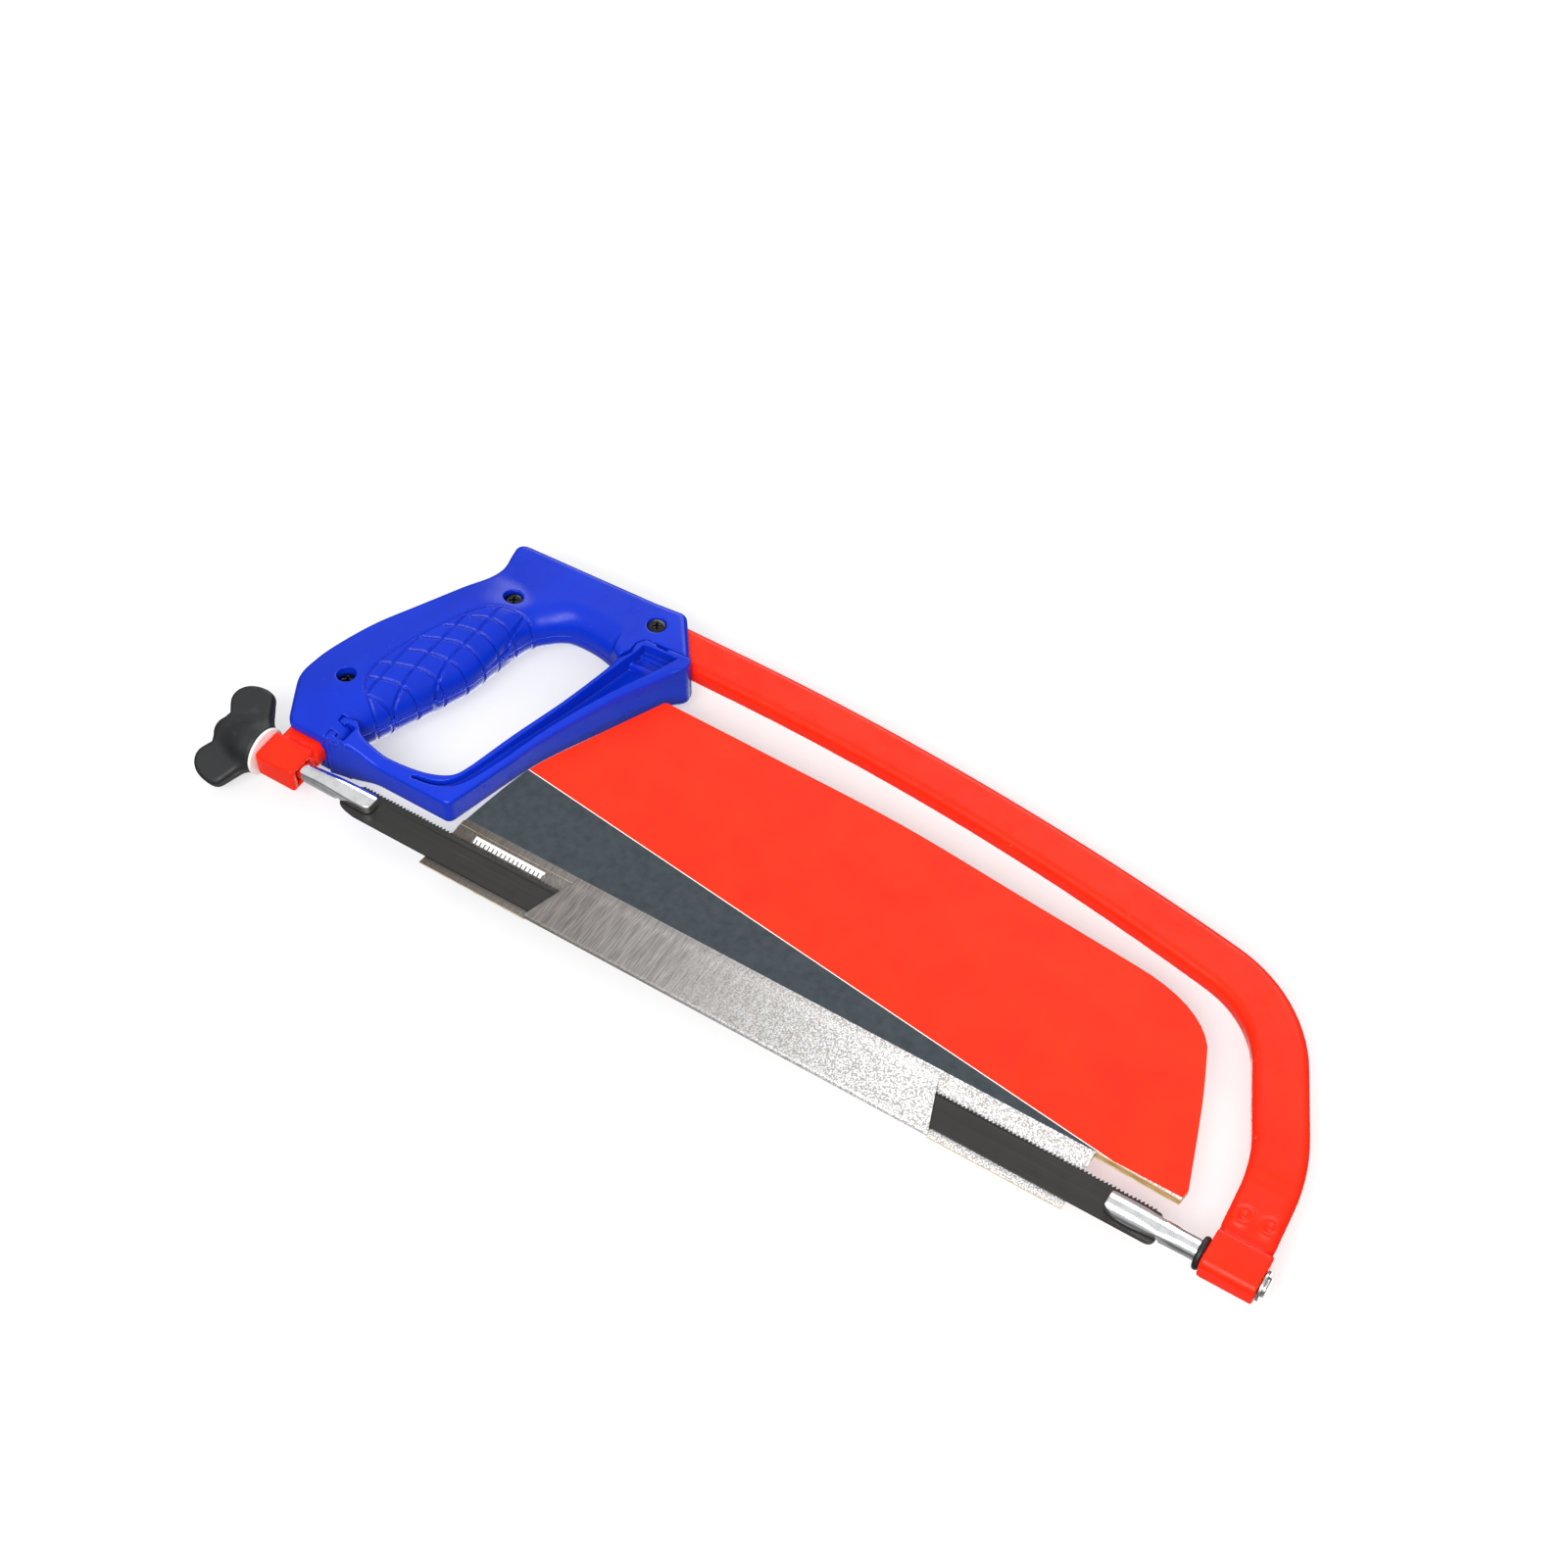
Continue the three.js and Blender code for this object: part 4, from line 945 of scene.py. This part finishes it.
def build_tension_bolt(material):
    grid = Grid((-53.6, -5.2, -4.6), (13.2, 3.8, 4.6), 0.22)
    ring = grid.round_x()
    outline = Outline(-24, -2.7).curve((-13, -2.8), (-4, -3.3), (4, -3.7), (9.6, -3.7))
    outline.bend((12.5, -3.5), (12.6, -1.6)).line((12.6, 1.6)).bend((12.5, 3.5), (9.6, 3.7))
    outline.curve((4, 3.7), (-4, 3.3), (-13, 2.8), (-24, 2.7))
    flat = grid.distance(outline.array())
    near = HOLDER_FACE - HOLDER_DEPTH + 1.3 * (1 - smooth_step(-20, -2, grid.x))
    paddle = rounded_both(flat, np.maximum(near - grid.y, grid.y - HOLDER_FACE), 0.9)
    flank = 0.44 * (grid.z - 1.3) - 0.9 * (grid.y - near)
    paddle = rounded_both(paddle, np.where(grid.x > -18, flank, flank - 0.15 * (-18 - grid.x)), 0.5)
    thread = np.where(grid.x < -31, 0.16 * nut_thread(grid) - 0.2, 0)
    shank = overlap(ring - 3 - thread, -53 - grid.x + 0.25 * ring, grid.x + 2.6 + 0.9 * (ring - 3))
    room = overlap(-0.6 - grid.x, HOLDER_FACE - grid.y, np.abs(grid.z) - 8)
    solid = soft_min(paddle, carve(shank, room, 0.2), 1.6)
    solid = overlap(solid, np.where(grid.x > -0.6, grid.y - HOLDER_FACE, -1))
    solid = carve(solid, pin_hole(grid, PIN_INSET), 0.1)
    add_piece("chrome_tension_bolt", *surface(grid, solid), material, SMOOTH)


def build_front_holder(material):
    grid = Grid((294, -5.2, -5.4), (349.8, 4.2, 4.6), 0.22)
    ring = grid.round_x()
    outline = Outline(294.5, 0).line((294.5, -2.2)).bend((294.5, -3.3), (295.8, -3.7))
    outline.curve((299, -4.5), (304, -4.7), (311, -4.1), (320, -3.3), (332, -3.2)).line((332, 3.2))
    outline.curve((320, 3.2), (312, 3.3), (303, 3.5), (296, 3.4)).bend((294.6, 3.3), (294.5, 2.4))
    flat = grid.distance(outline.array())
    near = HOLDER_FACE - HOLDER_DEPTH + 1.25 * smooth_step(304, 325, grid.x)
    far = np.where(grid.x > BLADE_LENGTH + 0.6, 0.5, HOLDER_FACE)
    paddle = rounded_both(flat, np.maximum(near - grid.y, grid.y - far), 0.9)
    flank = 0.44 * (grid.z - 0.7) - 0.9 * (grid.y - near)
    paddle = rounded_both(paddle, flank, 0.5)
    paddle = overlap(paddle, ring - SHANK_RADIUS - 1.6 * (1 - smooth_step(312, 320, grid.x)))
    shank = rounded_both(ring - SHANK_RADIUS, grid.x - FRONT_SOCKET["to"] - 2.4, 0.7)
    groove = np.where(np.abs(grid.x - FRONT_SOCKET["to"] - 0.75) < 0.55, ring - 2.8, -1)
    shank = overlap(shank, BLADE_LENGTH - grid.x + 0.8 * (ring - 2), groove)
    room = overlap(grid.x - BLADE_LENGTH - 0.6, HOLDER_FACE - grid.y, 300 - grid.x)
    solid = soft_min(paddle, carve(shank, room, 0.2), 1.8)
    solid = overlap(solid, np.where(grid.x < BLADE_LENGTH + 0.6, grid.y - HOLDER_FACE, -1))
    solid = carve(solid, pin_hole(grid, BLADE_LENGTH - PIN_INSET), 0.1)
    add_piece("chrome_front_holder", *surface(grid, solid), material, SMOOTH)


def build_pin(name, x, material):
    foot, head, edge = HOLDER_FACE - 2.5, 3.4, 0.6
    profile = [(foot, 0.01), (foot, PIN_RADIUS)]
    for angle in np.linspace(0, math.pi / 2, 6):
        profile.append((head - edge + edge * math.sin(angle), PIN_RADIUS - edge + edge * math.cos(angle)))
    profile.append((head, 0.01))
    points, faces = turned(profile, 40, "y", (x, 0, 0))
    add_piece(f"zinc_{name}", points, faces, material)


# ---------- retail card ----------

CARD_LAYER = 0.8
CARD_LIP = 9.2
REAR_SLIT = (88.0, 81.0)
FRONT_SLIT = (228.0, 236.0)
LIP_OVERLAP = 0.2
CARD_BOTTOM = 10.5
CARD_STEP = 283.4
SLIT_TOP = 12.0


def card_outline(notch):
    path = Outline(41.058, CARD_BOTTOM).curve((46.6, 41), (56.8, 64.6), (69.8, 91.8))
    path.bend((70.4, 92.6), (71.8, 92.5))
    path.curve((118, 91.8), (168, 90.6), (220, 86), (262, 82.2))
    path.bend((287, 80), (295.6, 66.6)).curve((303.6, 47), (314, 16.6))
    return path.line((313.4, notch - 1), (CARD_STEP, notch), (CARD_STEP, CARD_BOTTOM)).array()


def bent_strip(path, left, right, thickness, columns=40):
    """A sheet that follows a (y, z) path, between a left and a right edge given as x for each z."""
    path = np.array(path, float)
    along = np.gradient(path, axis=0)
    along /= np.linalg.norm(along, axis=1)[:, None]
    side = np.stack([-along[:, 1], along[:, 0]], 1) * thickness / 2
    rows = len(path)
    points = [(left(z) * (1 - t) + right(z) * t, y + dy, z + dz) for offset in (side, -side)
              for (y, z), (dy, dz) in zip(path, offset) for t in np.linspace(0, 1, columns)]
    points = np.array(points)
    layer = rows * columns
    faces = []
    for row in range(rows - 1):
        for column in range(columns - 1):
            a = row * columns + column
            quad = (a, a + 1, a + columns + 1, a + columns)
            faces.append(quad)
            faces.append(tuple(layer + k for k in reversed(quad)))
    border = [*range(columns)] + [row * columns + columns - 1 for row in range(1, rows)]
    border += [(rows - 1) * columns + k for k in range(columns - 2, -1, -1)]
    border += [row * columns for row in range(rows - 2, 0, -1)]
    rim = [(b, a, layer + a, layer + b) for a, b in zip(border, border[1:] + border[:1])]
    return points, outward(points, faces + rim), len(faces)


def slanted(x_top, x_low):
    """A slit's edge: x at a height, straight between the two ends of the slit."""
    return lambda z: x_low + (x_top - x_low) * np.clip((z + CARD_LIP) / (SLIT_TOP + CARD_LIP), 0, 1)


def arc_path(y0, y1, z, steps=8):
    middle, radius = (y0 + y1) / 2, (y1 - y0) / 2
    angles = [math.pi - math.pi * step / steps for step in range(1, steps)]
    return [(middle + radius * math.cos(a), z - radius * math.sin(a)) for a in angles]


def build_card(printed, cut, kraft):
    near = BLADE_THICKNESS / 2 + 0.15 + CARD_LAYER / 2
    sheets = []
    for name, y0, y1, notch in (("front", -0.9, -0.1, 13.6), ("back", 0.1, 0.9, 12.3)):
        piece = add_piece(f"card_{name}_sheet", *plate(name, card_outline(notch), [], y0, y1), printed, CRISP)
        sheets.append((piece, y0 + y1))
    low = -CARD_LIP + near + CARD_LAYER / 2
    down = [(-0.5, 12.5), (-0.5, 11.5), (-0.62, 10), (-0.8, 8.5)] + [(-near, z) for z in (7, 3, 0, -3, low)]
    up = [(-y, z) for y, z in reversed(down)]
    sleeve = down + arc_path(-near, near, low) + up
    lip = [(-0.5, 12.5), (-0.45, 11.5), (-0.2, 10), (0.3, 8.6), (near - 0.1, 7.4), (near, 6.4)]
    lip += [(near, z) for z in (3, 0, -3, -6, -CARD_LIP)]
    strips = (
        ("sleeve", sleeve, REAR_SLIT, FRONT_SLIT),
        ("rear_lip", lip, (41.0, 38.0), [x + LIP_OVERLAP for x in REAR_SLIT]),
        ("front_lip", lip, [x - LIP_OVERLAP for x in FRONT_SLIT], (CARD_STEP, CARD_STEP)),
    )
    for name, path, left, right in strips:
        points, faces, flat = bent_strip(path, slanted(*left), slanted(*right), CARD_LAYER)
        piece = add_piece(f"card_{name}", points, faces, printed, CRISP)
        piece.data.materials.append(cut)
        for polygon in piece.data.polygons[flat:]:
            polygon.material_index = 1
    for piece, outside in sheets:
        piece.data.materials.append(cut)
        piece.data.materials.append(kraft)
        for polygon in piece.data.polygons:
            if abs(polygon.normal.y) < 0.5:
                polygon.material_index = 1
            elif polygon.normal.y * outside < 0:
                polygon.material_index = 2


# ---------- stage ----------

FLOOR_REACH = 4.0

def build_floor():
    """A white table under the saw's right side; from behind, and for light, it isn't there."""
    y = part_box("handle_shell_right")[1].y + 0.0002
    mesh = bpy.data.meshes.new("floor")
    corners = [(x * FLOOR_REACH, y, z * FLOOR_REACH) for x, z in ((-1, -1), (1, -1), (1, 1), (-1, 1))]
    mesh.from_pydata(corners, [], [(0, 1, 2, 3)])
    put("floor", mesh)
    table = Finish("white_table", base_color=(0.45, 0.45, 0.45, 1), roughness=0.8,
                   specular_ior_level=0.0, emission_color=(1, 1, 1, 1), emission_strength=0.5)
    unseen = table.math("SUBTRACT", 1.0, table.new("LightPath").outputs["Is Camera Ray"])
    gone = table.math("MAXIMUM", unseen, table.new("NewGeometry").outputs["Backfacing"])
    mix = table.new("MixShader")
    clear = table.new("BsdfTransparent").outputs[0]
    for source, socket in zip((gone, table.shader.outputs[0], clear), mix.inputs):
        table.plug(source, socket)
    table.plug(mix.outputs[0], table.nodes["Material Output"].inputs["Surface"])
    mesh.materials.append(table.material)


# brightness against direction, from straight under the table (0) over level (0.5) to overhead (1)
SKY = ((0.0, 0.45), (1.0, 0.8), (0.25, 0.24), (0.4, 0.15), (0.52, 0.12), (0.62, 0.45), (0.85, 0.72))
BACKDROP = 0.93


def build_world():
    """Pale all round; reflections find a darker band level with the table."""
    world = bpy.data.worlds.new("studio")
    bpy.context.scene.world = world
    world.use_nodes = True
    sky = Nodes(world.node_tree)
    split = sky.new("SeparateXYZ")
    sky.plug(sky.new("TexCoord").outputs["Generated"], split.inputs[0])
    band = sky.new("ValToRGB")
    sky.plug(sky.math("MULTIPLY_ADD", split.outputs[1], -0.5, 0.5), band.inputs[0])
    stops = band.color_ramp.elements
    for spot, level in SKY:
        stop = stops[0] if spot == 0 else stops[1] if spot == 1 else stops.new(spot)
        stop.position, stop.color = spot, (level, level, level, 1)
    mix = sky.new("Mix")
    mix.data_type = "FLOAT"
    sky.plug(sky.new("LightPath").outputs["Is Camera Ray"], mix.inputs[0])
    sky.plug(band.outputs[0], mix.inputs[2])
    sky.plug(BACKDROP, mix.inputs[3])
    background = sky.nodes["Background"]
    sky.plug(mix.outputs[0], background.inputs["Strength"])
    sky.plug((1, 1, 1, 1), background.inputs["Color"])


# each softbox: where it stands in metres, its size and its power; all face the middle of the saw
LIGHTS = {
    "key": ((-0.35, -0.85, 1.35), (1.3, 0.7), 11),
    "front": ((0.35, -1.0, -1.0), (1.5, 0.65), 24),
    "back": ((0.0, 1.5, 0.6), (1.4, 1.0), 12),
}


def softbox(name, place, size, power):
    light = bpy.data.lights.new(name, "AREA")
    light.shape = "RECTANGLE"
    light.size, light.size_y = size
    light.energy = power
    lamp = put(name, light)
    lamp.location = place
    lamp.rotation_mode = "QUATERNION"
    lamp.rotation_quaternion = (-Vector(place)).to_track_quat("-Z", "Y")


CAMERA = {"azimuth": 31.495, "elevation": 52.13, "distance": 906.88, "roll": 0.0138, "lens": 60.4}
TARGET = (124.25, 0.0, 84.61)


def build_camera():
    """The camera looks down on the table; the picture's top is roughly the far side of the saw."""
    data = bpy.data.cameras.new("camera")
    data.lens = CAMERA["lens"]
    data.sensor_width = 36.0
    azimuth, elevation = math.radians(CAMERA["azimuth"]), math.radians(CAMERA["elevation"])
    away = Vector((math.cos(elevation) * math.sin(azimuth), -math.sin(elevation),
                   -math.cos(elevation) * math.cos(azimuth)))
    right = (-away).cross(Vector((0, -1, 0))).normalized()
    down = (-away).cross(right)
    c, s = math.cos(CAMERA["roll"]), math.sin(CAMERA["roll"])
    right, down = c * right - s * down, s * right + c * down
    camera = put("camera", data)
    place = ORIGIN + MM * (Vector(TARGET) + away * CAMERA["distance"])
    turn = Matrix((right, -down, away)).transposed().to_4x4()
    camera.matrix_world = Matrix.Translation(place) @ turn
    bpy.context.scene.camera = camera


# ---------- everything together ----------

blue, red = moulded_blue(), powder_coat()
chrome, plated, black_steel = polished_chrome(), zinc(), black_screw()
build_tube(red)
handle = Handle(0.34)
for side in (-1, 1):
    build_shell(handle, side, blue)
build_guard(blue)
for name, (x, z, seat) in SCREWS.items():
    build_screw(name, x, z, seat, black_steel)
build_wing_nut(matt_black())
build_insert(plated)
build_rings(white_nylon(), rubber(), plated)
build_blade(painted_blade())
build_tension_bolt(chrome)
build_front_holder(chrome)
build_pin("rear_blade_pin", PIN_INSET, plated)
build_pin("front_blade_pin", BLADE_LENGTH - PIN_INSET, plated)
build_card(printed_board(), cut_board(), kraft_board())

build_floor()
build_world()
for name, (place, size, power) in LIGHTS.items():
    softbox(name, place, size, power)
build_camera()
bpy.context.scene.view_settings.view_transform = "Standard"
